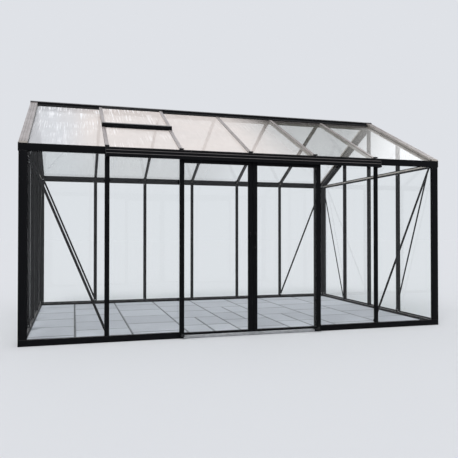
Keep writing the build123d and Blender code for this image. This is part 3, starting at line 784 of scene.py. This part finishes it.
angle_section = np.array([
    (0, 0), (bracket_leg, 0), (bracket_leg, bracket_thickness),
    (bracket_thickness * bracket_fillet, bracket_thickness),
    (bracket_thickness, bracket_thickness * bracket_fillet),
    (bracket_thickness, bracket_leg), (0, bracket_leg),
])


def bolted_angles(level, up):
    """Angles at one level, with a bolt in the middle of each leg; up is away from the beam."""
    places = foot_places[:, :3] + level * up_axis
    away = foot_places[:, 3:]
    flat = places + away * bracket_leg * bolt_leg_share + up * bracket_thickness
    tall = places + away * bracket_thickness + up * bracket_leg * bolt_leg_share
    angles = prisms(angle_section, places, away, up, bracket_width)
    return angles, together(hex_bolts(flat, up), hex_bolts(tall, away))


foot_angles, foot_bolts = bolted_angles(sill_body_top, up_axis)
head_angles, head_bolts = bolted_angles(eave_body_underside, -up_axis)
angles = add_piece("fixing_angles", together(foot_angles, head_angles), black_coat, "black_aluminium")
round_edges(angles, bracket_edge)
add_piece("fixing_bolts", together(foot_bolts, head_bolts), zinc_steel, "roller_steel")

# Posts and wall bars
# Angle posts at the corners and upright glazing bars with a flat cover outside and a web inside, from the
# sill to the eave. The two bars beside the doorway are the door posts, which the closed leaves overlap.
for name in ("corner_posts", "door_posts", "front_wall_bars", "back_wall_bars", "left_gable_bars",
             "right_gable_bars"):
    dress(name, black_coat)

# Braces
# Flat aluminium bars set diagonally at each corner, inside the glass, one in each direction. A hexagon
# bolt at each end holds them to the frame.
brace_end_distance = 0.014
brace_edge = 0.0007
brace_bolt_across_flats = 0.013

for name in ("wall_braces", "gable_braces"):
    dress(name, black_coat, brace_edge)
brace_places = []
brace_axes = []
for name, thin in (("wall_braces", 1), ("gable_braces", 0)):
    for corners in solids_of(name):
        order = np.argsort(corners[:, 2])
        foot = corners[order[:4]].mean(0)
        top = corners[order[4:]].mean(0)
        slope = (top - foot) / np.linalg.norm(top - foot)
        inner = corners[:, thin][np.abs(corners[:, thin]).argmin()]
        for end in (foot + brace_end_distance * slope, top - brace_end_distance * slope):
            end[thin] = inner
            brace_places.append(end)
            brace_axes.append(-np.sign(inner) * (long_axis, deep_axis)[thin])
brace_heads = hex_bolts(brace_places, brace_axes, brace_bolt_across_flats)
add_piece("brace_bolts", brace_heads, zinc_steel, "roller_steel")

# Eaves and gutters
# Eave beams whose top is an open gutter, with a moulded black plastic cap pushed into each end. The cap
# stands a little proud of the gable.
gutter_cap_reach = 0.006
gutter_cap_margin = 0.003
gutter_cap_radius = 0.006
gutter_cap_edge = 0.002
# Roof members carry far more of the pale layer, partly a painted reflection of the sky on their tops, and a
# painted side reflection on their upright faces.
roof_film_and_reflection = 0.75
side_reflection_share = 0.85
plastic_colour = (0.0110, 0.0112, 0.0120, 1)
plastic_worn_colour = (0.045, 0.045, 0.046, 1)


def rounded_section(low, high, radius, turns=4):
    """Rectangle between two corners with rounded corners: the arc centres plus the radius along the angle."""
    low = np.asarray(low, float)
    high = np.asarray(high, float)
    ray, signs = corner_rays(turns)
    return (low + high) / 2 + ((high - low) / 2 - radius) * signs + radius * ray


def moulded_plastic(name):
    """Moulded plastic: a fine even grain, slightly greyed where it has weathered."""
    material, shader, place = new_material(name)
    clouds = clouds_on(place, 25.0, 400.0)
    worn = arithmetic("MULTIPLY_ADD", clouds["Patches"], 0.35, use_group(rain_film_and_painted_reflection, place)["Mask"])
    worn = arithmetic("MULTIPLY", worn, 0.5, clamp=True)
    grain = grain_on(place, 1400.0)
    feed(
        shader,
        Base_Color=blend_colour(worn, plastic_colour, plastic_worn_colour),
        Roughness=ramp(grain, 0.3, 1.0, 0.48, 0.62),
        Normal=bump(grain, 0.15, 0.0002),
        Specular_IOR_Level=0.25,
    )
    return material


black_plastic = moulded_plastic("black_moulded_plastic")
roof_coat = powder_coat("roof_powder_coat", roof_film_and_reflection, side_reflection_share)
dress("gable_ties", roof_coat)
cap_shapes = []
for name in ("front_eave_beam", "back_eave_beam"):
    dress(name, black_coat)
    beam_low, beam_high = np.array(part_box(name))
    section = rounded_section(
        beam_low[1:] - gutter_cap_margin, beam_high[1:] + gutter_cap_margin, gutter_cap_radius
    )
    for end in (-1, 1):
        middle = (end * (half_length + gutter_cap_reach / 2), 0, 0)
        cap_shapes.append(prisms(section, middle, deep_axis, up_axis, gutter_cap_reach))
gutter_caps = add_piece("gutter_end_caps", together(*cap_shapes), black_plastic, "black_plastic")
round_edges(gutter_caps, gutter_cap_edge)

# Ridge and verges
# The ridge beam runs the whole length under a low gabled cap, and moulded black plastic caps close its
# ends. Wide grooved verges cover the edges of the roof glass.
ridge_cap_reach = 0.004
ridge_cap_margin = 0.002
ridge_cap_rise = 0.017
ridge_cap_edge = 0.0015
verge_width = 0.080

dress("ridge_beam", black_coat)
for name in ("left_verges", "right_verges"):
    dress(name, roof_coat)


def roof_place(x, y, lift):
    """Places on a slope: the roof line's height at y, with the lift square to the glass."""
    x, y, lift = np.broadcast_arrays(np.asarray(x, float), np.asarray(y, float), np.asarray(lift, float))
    z = roof_line_at_face + (half_depth - np.abs(y)) * tan(roof_pitch)
    return np.stack([x, y + np.sign(y) * lift * sin(roof_pitch), z + lift * cos(roof_pitch)], -1)


ridge_low, ridge_high = np.array(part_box("ridge_beam"))
ridge_half = ridge_high[1] + ridge_cap_margin
ridge_shoulder = ridge_high[2] - ridge_cap_rise
ridge_end = [
    (-ridge_half, ridge_low[2] - ridge_cap_margin), (ridge_half, ridge_low[2] - ridge_cap_margin),
    (ridge_half, ridge_shoulder), (0, ridge_high[2] + ridge_cap_margin), (-ridge_half, ridge_shoulder),
]
end_middles = [(end * (half_length + ridge_cap_reach / 2), 0, 0) for end in (-1, 1)]
ridge_caps = prisms(ridge_end, end_middles, deep_axis, up_axis, ridge_cap_reach)
ridge_cap_piece = add_piece("ridge_end_caps", ridge_caps, black_plastic, "black_plastic")
round_edges(ridge_cap_piece, ridge_cap_edge)

# Roof bars
# Glazing bars from the gutter to the ridge, flat-topped over the glass. Each foot, and the inner edge of
# each verge's foot, is held down to the gutter's lip by a black plastic clip with one screw.
clip_width = 0.042
clip_reach = 0.030
clip_height = 0.013
clip_edge = 0.0012
clip_screw_from_face = 0.016
clip_screw_rise = 1.03
clip_screw_radius = 0.0045

for name in ("front_roof_bars", "back_roof_bars"):
    dress(name, roof_coat)
bar_lines = [corners.mean(0)[0] for corners in solids_of("back_roof_bars")]
clip_reach_x = half_length - verge_width + clip_width / 2
clip_lines = np.array([-clip_reach_x] + bar_lines + [clip_reach_x])
lip_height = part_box("front_eave_beam")[1][2]
clip_section = np.array([
    (-0.0010, 0), (-0.0010, clip_height * 0.55), (-0.0035, clip_height * 0.9), (-0.008, clip_height),
    (-clip_reach * 0.8, clip_height * 1.1), (-clip_reach, clip_height * 0.8), (-clip_reach, 0.001),
    (-0.006, -0.003), (-0.006, 0),
]) + (0, lip_height)
clip_shapes = []
clip_screws = []
for side in (-1, 1):
    clip_middles = [(x, side * half_depth, 0) for x in clip_lines]
    clip_shapes.append(prisms(clip_section, clip_middles, side * deep_axis, up_axis, clip_width))
    screw_y = side * (half_depth - clip_screw_from_face)
    clip_screws += [(x, screw_y, lip_height + clip_height * clip_screw_rise) for x in clip_lines]
clips = add_piece("roof_bar_foot_clips", together(*clip_shapes), black_plastic, "black_plastic")
round_edges(clips, clip_edge)
clip_heads = screw_heads(clip_screws, up_axis, clip_screw_radius)
add_piece("foot_clip_screws", clip_heads, zinc_steel, "roller_steel")

# Glass
# Single sheets of clear toughened float glass, seated behind the covers of the bars. Black rubber holds
# each wall sheet on both faces and runs along the roof bars' caps, and a broad black rubber strip, pressed
# into the ridge beam, laps over the heads of the roof's glass and bars.
glass_tint = (0.985, 0.996, 0.992, 1)
glass_index = 1.28
glass_shadow = (0.97, 0.98, 0.975, 1)
rubber_colour = (0.0075, 0.0075, 0.008, 1)
rubber_grey_colour = (0.030, 0.030, 0.031, 1)
cover_inset = 0.0115
bead_width = 0.0035
bead_height = 0.0026
wedge_height = 0.0050
bead_overlap = 0.001
roof_bead_width = 0.0018
roof_bead_height = 0.0018
lap_reach = 0.045
lap_height = 0.010
lap_overlap = 0.001
rubber_from_face = 0.012
roof_cap_half = 0.018
least_turn = 1e-6


def passing_rays(tree):
    """Share that is 1 for shadows and matt light, which pass through glass and through what lies on it,
    run-off and painted reflection alike.
    """
    kind = tree.nodes.new("ShaderNodeLightPath").outputs
    return arithmetic("MAXIMUM", kind["Is Shadow Ray"], kind["Is Diffuse Ray"])


def float_glass(name):
    """Clear glass that reflects and refracts; shadows and matt light pass straight through it."""
    material, shader, place = new_material(name)
    feed(
        shader,
        Base_Color=glass_tint,
        Roughness=0.0,
        IOR=glass_index,
        Transmission_Weight=1.0,
        Normal=bump(noise(place, 1.1, 0.0), 0.01, 0.0002),
    )
    tree = material.node_tree
    clear = feed(tree.nodes.new("ShaderNodeBsdfTransparent"), Color=glass_shadow).outputs["BSDF"]
    glass = mix_shaders(passing_rays(tree), shader.outputs["BSDF"], clear)
    feed(tree.nodes["Material Output"], Surface=glass)
    return material


def rubber_strip(name):
    """Black rubber: matt, a little greyed in patches, with a fine grain."""
    material, shader, place = new_material(name)
    grey = arithmetic("MULTIPLY", clouds_on(place, 30.0, 300.0)["Patches"], 0.5)
    grain = grain_on(place, 900.0)
    feed(
        shader,
        Base_Color=blend_colour(grey, rubber_colour, rubber_grey_colour),
        Roughness=ramp(grain, 0.3, 1.0, 0.62, 0.80),
        Normal=bump(grain, 0.2, 0.0002),
        Specular_IOR_Level=0.10,
    )
    return material


def sheet_loops(node_name, section, outside):
    """Rubber carried round each flat sheet of a node.

    The sheet's corners are put in order by their angle round the middle. A point is the corner moved
    inwards by the section's first number along the mitre, which is the sum of both edges' inward
    directions over one plus their dot product, and raised off the glass by the section's second.
    """
    section = np.asarray(section)
    shapes = []
    for corners in solids_of(node_name):
        thin = int(np.argmin(np.ptp(corners, axis=0)))
        flat = [axis for axis in range(3) if axis != thin]
        outline = np.unique(corners[:, flat].round(4), axis=0)
        spoke = outline - outline.mean(0)
        outline = outline[np.argsort(np.arctan2(spoke[:, 1], spoke[:, 0]))]
        back = outline - np.roll(outline, 1, 0)
        ahead = np.roll(outline, -1, 0) - outline
        outline = outline[back[:, 0] * ahead[:, 1] - back[:, 1] * ahead[:, 0] > least_turn]
        edge = np.roll(outline, -1, 0) - outline
        edge /= np.linalg.norm(edge, axis=1, keepdims=True)
        inward = np.stack([-edge[:, 1], edge[:, 0]], -1)
        before = np.roll(inward, 1, 0)
        mitre = (inward + before) / (1 + (inward * before).sum(1, keepdims=True))
        face = corners[:, thin]
        outer, inner = face[np.abs(face).argmax()], face[np.abs(face).argmin()]
        surface, away = (outer, np.sign(outer - inner)) if outside else (inner, np.sign(inner - outer))
        points = np.empty((len(outline), len(section), 3))
        moved = outline[:, None] + section[None, :, :1] * mitre[:, None]
        points[:, :, flat[0]] = moved[..., 0]
        points[:, :, flat[1]] = moved[..., 1]
        points[:, :, thin] = surface + away * section[:, 1]
        shapes.append((points.reshape(-1, 3), [grid_faces(len(outline), len(section), True, True)]))
    return together(*shapes)


def bead(start, width, height):
    """Section of a bead on the glass, from its hidden edge to its rounded free edge."""
    hidden = start - bead_overlap
    return np.array([
        (hidden, 0), (start + width, 0), (start + width * 0.92, height * 0.45),
        (start + width * 0.66, height * 0.84), (start + width * 0.3, height), (hidden, height),
    ])


clear_glass = float_glass("float_glass")
wall_sheets = ["front_left_glass", "front_right_glass", "back_glass", "left_gable_glass", "right_gable_glass"]
leaf_sheets = {"left_door": "left_door_glass", "right_door": "right_door_glass"}
roof_sheets = ["front_roof_glass", "back_roof_glass", "roof_vent_glass"]
for name in wall_sheets + roof_sheets + list(leaf_sheets.values()):
    one_finish(name, clear_glass)

black_rubber = rubber_strip("black_rubber")
outside_bead = bead(cover_inset, bead_width, bead_height)
inside_wedge = bead(0.0, cover_inset, wedge_height)
for name in wall_sheets:
    place_name = name.replace("_glass", "")
    add_piece(
        f"{place_name}_glazing_rubber",
        together(sheet_loops(name, outside_bead, True), sheet_loops(name, inside_wedge, False)),
        black_rubber,
        "black_plastic",
    )

# A run of roof rubber is a straight bead between two places on the slope, free on the side of the glass.
# The lap strip's section goes down the slope from the ridge beam's face, over the bars, and is broken by
# the vent.
gutter_edge = half_depth - rubber_from_face
ridge_edge = ridge_high[1]
lap_section = [
    (-lap_overlap, 0), (lap_reach, 0), (lap_reach + 0.001, lap_height * 0.4), (lap_reach - 0.002, lap_height),
    (0.006, lap_height * 1.5), (-lap_overlap, lap_height * 1.6),
]
vent_low_edge = -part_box("roof_vent_rails")[0][1]
verge_edge = half_length - verge_width
bar_runs = [(x + away * roof_cap_half, away, x) for x in bar_lines for away in (-1, 1)]
bar_runs += [(-verge_edge, 1, None), (verge_edge, -1, None)]
vent_lines = sorted(bar_lines)[:2]
run_shapes = []
lap_shapes = []
for side in (-1, 1):
    slope_up = np.array((0.0, side * sin(roof_pitch), cos(roof_pitch)))
    for x, away, line in bar_runs:
        beside_vent = side < 0 and line is not None and vent_lines[0] < x < vent_lines[1]
        top = vent_low_edge if beside_vent else ridge_edge
        ends = roof_place(x, np.array((side * gutter_edge, side * top)), 0.0)
        run_shapes.append(prisms(
            bead(0.0, roof_bead_width, roof_bead_height), ends.mean(0), away * long_axis, slope_up,
            np.linalg.norm(ends[1] - ends[0]),
        ))
    down_slope = np.array((0.0, side * cos(roof_pitch), -sin(roof_pitch)))
    breaks = [] if side > 0 else [vent_lines[0] - roof_cap_half, vent_lines[1] + roof_cap_half]
    lap_ends = [-verge_edge] + breaks + [verge_edge]
    for left, right in zip(lap_ends[::2], lap_ends[1::2]):
        lap_middle = roof_place((left + right) / 2, side * ridge_edge, 0.0)
        lap_shapes.append(prisms(lap_section, lap_middle, down_slope, slope_up, right - left))
add_piece("roof_glazing_rubber", together(*run_shapes), black_rubber, "black_plastic")
add_piece("ridge_lap_strips", together(*lap_shapes), black_rubber, "black_plastic")

# Rain marks and painted reflection on the roof
# On the outside of the roof glass: a grey veil on the first bay and a warmer one on the next three, which
# paint the reflection of a pale sky, with white streaks of dried run-off down the slope at the left end, and
# half as much of both on the back slope. Each layer lies on its sheet.
film_lift = 0.0003
# The veil colours and their strength from left to right are a painted reflection of the sky; the streaks are
# run-off marks.
reflection_veil_colour = (0.735, 0.735, 0.755, 1)
warm_reflection_veil_colour = (0.890, 0.800, 0.752, 1)
streak_colour = (0.940, 0.940, 0.955, 1)
veil_alpha_left = 0.68
veil_alpha_right = 0.06
veil_thick_to = 0.1
veil_thin_from = 0.75
warm_from = -1.75
warm_to = -1.25
streaks_to = -1.3
streaks_from = -0.6
streaks_low = 2.0
streaks_high = 2.5
streak_alpha = 0.62
back_slope_share = 0.5
film_steps = (9, 13)
end_tolerance = 1e-4


def run_off_and_reflection_film(name):
    """Streaks of water marks drawn out along the slope, and a veil of painted sky reflection, grey, then
    warm, and thickest at the left end; seen through elsewhere.
    """
    material, shader, place = new_material(name)
    x, y, z = coordinates(place)
    fine = ramp(noise(place, 1.0, 2.0, (44, 1.3, 1.3)), 0.53, 0.66)
    thin = ramp(noise(place, 1.0, 1.0, (120, 2.6, 2.6), 3.0), 0.58, 0.70)
    gaps = ramp(noise(place, 1.0, 2.0, (4.5, 3.5, 3.5), 8.0), 0.44, 0.60)
    runs = arithmetic("MULTIPLY", arithmetic("MAXIMUM", fine, thin), gaps)
    runs = arithmetic("MULTIPLY", runs, ramp(z, streaks_low, streaks_high, 0.45, 1.0))
    runs = arithmetic("MULTIPLY", runs, ramp(x, streaks_to, streaks_from, 1.0, 0.15))
    clouds = clouds_on(place, 2.6, 120.0)
    drift = noise(place, 1.0, 1.0, (2.6, 0.4, 0.4), 1.0)
    warm = ramp(arithmetic("MULTIPLY_ADD", drift, 0.6, x), warm_from, warm_to)
    pale = blend_colour(warm, reflection_veil_colour, warm_reflection_veil_colour)
    veil = ramp(x, veil_thick_to, veil_thin_from, veil_alpha_left, veil_alpha_right)
    veil = arithmetic("MULTIPLY", veil, ramp(clouds["Patches"], 0.0, 1.0, 0.92, 1.05))
    veil = arithmetic("MULTIPLY_ADD", clouds["Specks"], 0.03, veil)
    alpha = arithmetic("MULTIPLY_ADD", runs, streak_alpha, veil, clamp=True)
    alpha = arithmetic("MULTIPLY", alpha, ramp(y, -ridge_softness, ridge_softness, 1.0, back_slope_share))
    seen = arithmetic("SUBTRACT", 1.0, passing_rays(material.node_tree))
    feed(
        shader,
        Base_Color=blend_colour(runs, pale, streak_colour),
        Roughness=ramp(runs, 0.0, 1.0, 0.55, 0.8),
        Specular_IOR_Level=0.1,
        Alpha=arithmetic("MULTIPLY", alpha, seen),
    )
    return material


run_off_and_reflection = run_off_and_reflection_film("rain_run_off_and_painted_reflection")
share_x, share_y = np.meshgrid(*(np.linspace(0, 1, steps) for steps in film_steps))
for name in roof_sheets:
    films = []
    for corners in solids_of(name):
        low, high = corners.min(0), corners.max(0)
        x = low[0] + share_x * (high[0] - low[0])
        y = low[1] + share_y * (high[1] - low[1])
        ends = [corners[np.abs(corners[:, 1] - end) < end_tolerance] for end in (low[1], high[1])]
        end_tops = [end[:, 2].max() for end in ends]
        z = end_tops[0] + share_y * (end_tops[1] - end_tops[0])
        lift = film_lift * np.array((0, np.sign(low[1] + high[1]) * sin(roof_pitch), cos(roof_pitch)))
        films.append((np.stack([x, y, z], -1).reshape(-1, 3) + lift, [grid_faces(*share_x.shape)]))
    add_piece(name.replace("_glass", "_rain_film"), together(*films), run_off_and_reflection, "roof_glass", closed=False)

# Roof vent
# A framed sheet over the upper half of the second front bay, hinged under the ridge cap on a rubber flap
# and closed down on its transom. A stay bar lies along the transom inside, on two pegs.
flap_width = 0.020
flap_height = 0.0035
flap_lift = 0.0265
stay_length = 0.26
stay_half_width = 0.008
stay_half_thickness = 0.0015
stay_corner = 0.0012
stay_gap = 0.004
stay_under_glass = 0.016
peg_distance = 0.09
peg_inset = 0.012

dress("roof_vent_side_bars", roof_coat)
for name in ("roof_vent_rails", "roof_vent_transom"):
    dress(name, black_coat)
vent_low, vent_high = np.array(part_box("roof_vent_side_bars"))
vent_middle = (vent_low[0] + vent_high[0]) / 2
front_normal = np.array((0.0, -sin(roof_pitch), cos(roof_pitch)))
front_down = np.array((0.0, -cos(roof_pitch), -sin(roof_pitch)))
flap_section = np.array([
    (-0.004, -0.002), (flap_width, 0), (flap_width + 0.001, 0.0015), (flap_width - 0.002, flap_height),
    (0.004, flap_height * 1.5), (-0.004, flap_height * 1.5),
])
flap_place = roof_place(vent_middle, -ridge_edge, flap_lift)
flap = prisms(flap_section, flap_place, front_down, front_normal, vent_high[0] - vent_low[0])
add_piece("vent_hinge_flap", flap, black_rubber, "black_plastic")
_, transom_high = np.array(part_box("roof_vent_transom"))
stay_place = np.array((vent_middle, transom_high[1] + stay_gap + stay_half_thickness, 0))
stay_place[2] = roof_place(vent_middle, transom_high[1], -stay_under_glass)[2]
stay_half = np.array((stay_half_thickness, stay_half_width))
stay_outline = rounded_section(-stay_half, stay_half, stay_corner)
stay = prisms(stay_outline, stay_place, deep_axis, up_axis, stay_length)
pegs = turned(
    [stay_place + (x, -peg_inset, 0) for x in (-peg_distance, peg_distance)], deep_axis,
    [(0, 0, 0), (0.0032, 0, 0), (0.0032, 0.013, 0), (0.0050, 0.014, 0), (0.0050, 0.017, 0), (0, 0.018, 0)],
)
add_piece("vent_stay_bar", together(stay, pegs), black_coat, "black_aluminium")

# Door track
# A stepped aluminium hood over the rail that the rollers run on, closed by plastic caps at both ends and
# fixed through its top band with pan-head screws.
track_screw_spacing = 0.372
track_screw_count = 8
# The hood's steps carry more of the pale layer, partly a painted reflection of the sky on their upward faces.
track_film_and_reflection = 0.32
track_screw_inset = 0.012
track_screw_drop = 0.009
track_screw_radius = 0.0042

dress("door_track", powder_coat("track_powder_coat", track_film_and_reflection))
dress("door_track_end_caps", black_plastic)
track_low, track_high = np.array(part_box("door_track"))
track_screws = np.empty((track_screw_count, 3))
track_screws[:, 0] = track_screw_spacing * (np.arange(track_screw_count) - (track_screw_count - 1) / 2)
track_screws[:, 1:] = track_low[1] + track_screw_inset, track_high[2] - track_screw_drop
track_heads = screw_heads(track_screws, -deep_axis, track_screw_radius)
add_piece("track_screws", track_heads, black_coat, "black_aluminium")

# Sliding leaves
# Two glass leaves in black aluminium, screwed at the corners, that part in the middle. The glass sits in
# rubber, a soft lip closes the gap between the meeting stiles, each of those carries a pull, and the
# right-hand one a round lock.
leaf_coat_colour = (0.0036, 0.0039, 0.0047, 1)
leaf_screw_level = 1.762
leaf_screw_from_foot = 0.011
leaf_screw_radius = 0.0042
leaf_bead_start = 0.0098
leaf_bead_width = 0.003
leaf_bead_height = 0.003
lip_reach = 0.0024
lip_thickness = 0.006
lip_end_gap = 0.002
pull_low = 0.925
pull_high = 1.075
pull_thickness = 0.0034
pull_least_reach = 0.0004
pull_steps = 33
pull_screw_distance = 0.020
pull_screw_aside = 0.004
pull_screw_radius = 0.0036
lock_level = 0.914
lock_steps = 28

leaf_coat = powder_coat("door_powder_coat", frame_film_and_reflection, colour=leaf_coat_colour)


def pull_shape(middle, side, front):
    """Pull with a curved finger lip.

    The section is a centre line offset by half its thickness to both sides; it is carried upwards, and
    its reach from the stile is scaled by the sixth root of one minus the sixth power of the distance
    from the middle, which rounds both ends.
    """
    line = np.array([
        (-0.0110, 0.0017), (-0.0085, 0.0017), (-0.004, 0.0017), (0.001, 0.0017), (0.0052, 0.0019),
        (0.0079, 0.0034), (0.0092, 0.0062), (0.0096, 0.0092), (0.0090, 0.0122), (0.0072, 0.0148),
    ])
    steps = np.gradient(line, axis=0)
    steps /= np.linalg.norm(steps, axis=1, keepdims=True)
    square = np.stack([-steps[:, 1], steps[:, 0]], -1) * pull_thickness / 2
    taper = np.linspace(1, 0.6, len(line))[:, None]
    outline = np.concatenate([line - square * taper, (line + square * taper)[::-1]])
    t = np.linspace(-1, 1, pull_steps)[:, None]
    swell = (1 - np.abs(t) ** 6) ** (1 / 6)
    x = middle + side * outline[None, :, 0] * (0.8 + 0.2 * swell)
    y = front - np.maximum(outline[None, :, 1] * swell, pull_least_reach)
    z = (pull_low + pull_high) / 2 + (pull_high - pull_low) / 2 * t
    points = np.stack(np.broadcast_arrays(x, y, z), -1)
    ring = np.arange(len(outline))
    last = (len(t) - 1) * len(outline)
    faces = [grid_faces(len(t), len(outline), wrap_columns=True), ring[None], last + ring[None]]
    return points.reshape(-1, 3), faces


for body, side in (("left_door", -1), ("right_door", 1)):
    for part in ("stiles", "rails"):
        dress(f"{body}_{part}", leaf_coat)
    glass_name = leaf_sheets[body]
    leaf_bead = bead(leaf_bead_start, leaf_bead_width, leaf_bead_height)
    add_piece(
        f"{body}_glazing_rubber",
        together(sheet_loops(glass_name, leaf_bead, True), sheet_loops(glass_name, leaf_bead, False)),
        black_rubber, "black_plastic", body,
    )
    stile_low, stile_high = np.array(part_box(f"{body}_stiles"))
    front = stile_low[1]
    stiles = sorted(solids_of(f"{body}_stiles"), key=lambda corners: abs(corners.mean(0)[0]))
    lines = [middle_of(corners)[0] for corners in stiles]
    levels = (leaf_screw_level, stile_low[2] + leaf_screw_from_foot)
    leaf_heads = screw_heads([(x, front, z) for x in lines for z in levels], -deep_axis, leaf_screw_radius)
    add_piece(f"{body}_corner_screws", leaf_heads, leaf_coat, "door_aluminium", body)
    meeting = stiles[0][:, 0][np.abs(stiles[0][:, 0]).argmin()]
    lip_section = [
        (0.001, -lip_thickness / 2), (0.001, lip_thickness / 2), (-lip_reach * 0.7, lip_thickness * 0.35),
        (-lip_reach, 0), (-lip_reach * 0.7, -lip_thickness * 0.35),
    ]
    lip_place = (stile_low + stile_high) / 2
    lip_place[0] = meeting
    lip_length = stile_high[2] - stile_low[2] - 2 * lip_end_gap
    lip = prisms(lip_section, lip_place, side * long_axis, deep_axis, lip_length)
    add_piece(f"{body}_meeting_lip", lip, black_rubber, "black_plastic", body)
    pull = add_piece(f"{body}_pull", pull_shape(lines[0], side, front), leaf_coat, "handle_black", body)
    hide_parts(f"{body}_handle")
    pull_screw_x = lines[0] - side * pull_screw_aside
    pull_levels = (pull_low + pull_screw_distance, pull_high - pull_screw_distance)
    pull_screws = [(pull_screw_x, front - pull_thickness, z) for z in pull_levels]
    pull_heads = screw_heads(pull_screws, -deep_axis, pull_screw_radius)
    add_piece(f"{body}_pull_screws", pull_heads, leaf_coat, "handle_black", body)
    if side > 0:
        lock_profile = [
            (0, -0.0005, 0), (0.0125, -0.0005, 0), (0.0125, 0.0016, 0), (0.0112, 0.0030, 0),
            (0.0092, 0.0034, 0), (0.0088, 0.0095, 0), (0.0080, 0.0104, 0), (0.0030, 0.0104, 0),
            (0.0028, 0.0092, 0), (0, 0.0092, 0),
        ]
        lock = turned((lines[0], front, lock_level), -deep_axis, lock_profile, lock_steps)
        add_piece("right_door_lock", lock, leaf_coat, "handle_black", body)

# Rollers and floor guides
# Each leaf hangs from two plates with a round-edged wheel on a bolt, which runs on the rail inside the
# hood. Plastic brackets on the sill keep the leaves' feet from swinging out.
axle_from_top = 0.014
wheel_from_wall = 0.013
plate_from_wall = 0.032
plate_thickness = 0.004
plate_corner = 0.006
hanger_bolt_across_flats = 0.008
hanger_edge = 0.0004
wheel_steps = 32
axle_steps = 16

dress("door_bottom_guides", black_plastic)
wheel_half = [
    (0, 0.006, 0), (0.0045, 0.006, 0), (0.0048, 0.0035, 0), (0.0105, 0.0030, 0), (0.0115, 0.0050, 0),
    (0.0150, 0.0050, 0), (0.0158, 0.0042, 0), (0.0160, 0.0030, 0),
]
wheel_profile = [(radius, -height, share) for radius, height, share in wheel_half] + wheel_half[::-1]
axle_profile = [(0, -0.021, 0), (0.004, -0.021, 0), (0.004, 0.0065, 0), (0.0035, 0.0072, 0), (0, 0.0072, 0)]
for body in ("left_door", "right_door"):
    wheels = []
    plates = []
    bolts = []
    for corners in solids_of(f"{body}_rollers"):
        low, high = corners.min(0), corners.max(0)
        x = (low[0] + high[0]) / 2
        axle = high[2] - axle_from_top
        wheels.append((x, -half_depth - wheel_from_wall, axle))
        bolts.append((x, -half_depth - plate_from_wall - plate_thickness, axle))
        outline = rounded_section((low[0] - x, low[2] - axle), (high[0] - x, high[2] - axle), plate_corner)
        plate_middle = (x, -half_depth - plate_from_wall - plate_thickness / 2, axle)
        plates.append(prisms(outline, plate_middle, long_axis, up_axis, plate_thickness))
    wheel_shape = turned(wheels, deep_axis, wheel_profile, wheel_steps)
    axles = turned(wheels, deep_axis, axle_profile, axle_steps)
    add_piece(f"{body}_roller_wheels", wheel_shape, black_plastic, "black_plastic", body)
    metal = together(*plates, axles, hex_bolts(bolts, -deep_axis, hanger_bolt_across_flats))
    carriers = add_piece(f"{body}_roller_hangers", metal, zinc_steel, "roller_steel", body)
    round_edges(carriers, hanger_edge)
    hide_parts(f"{body}_rollers")
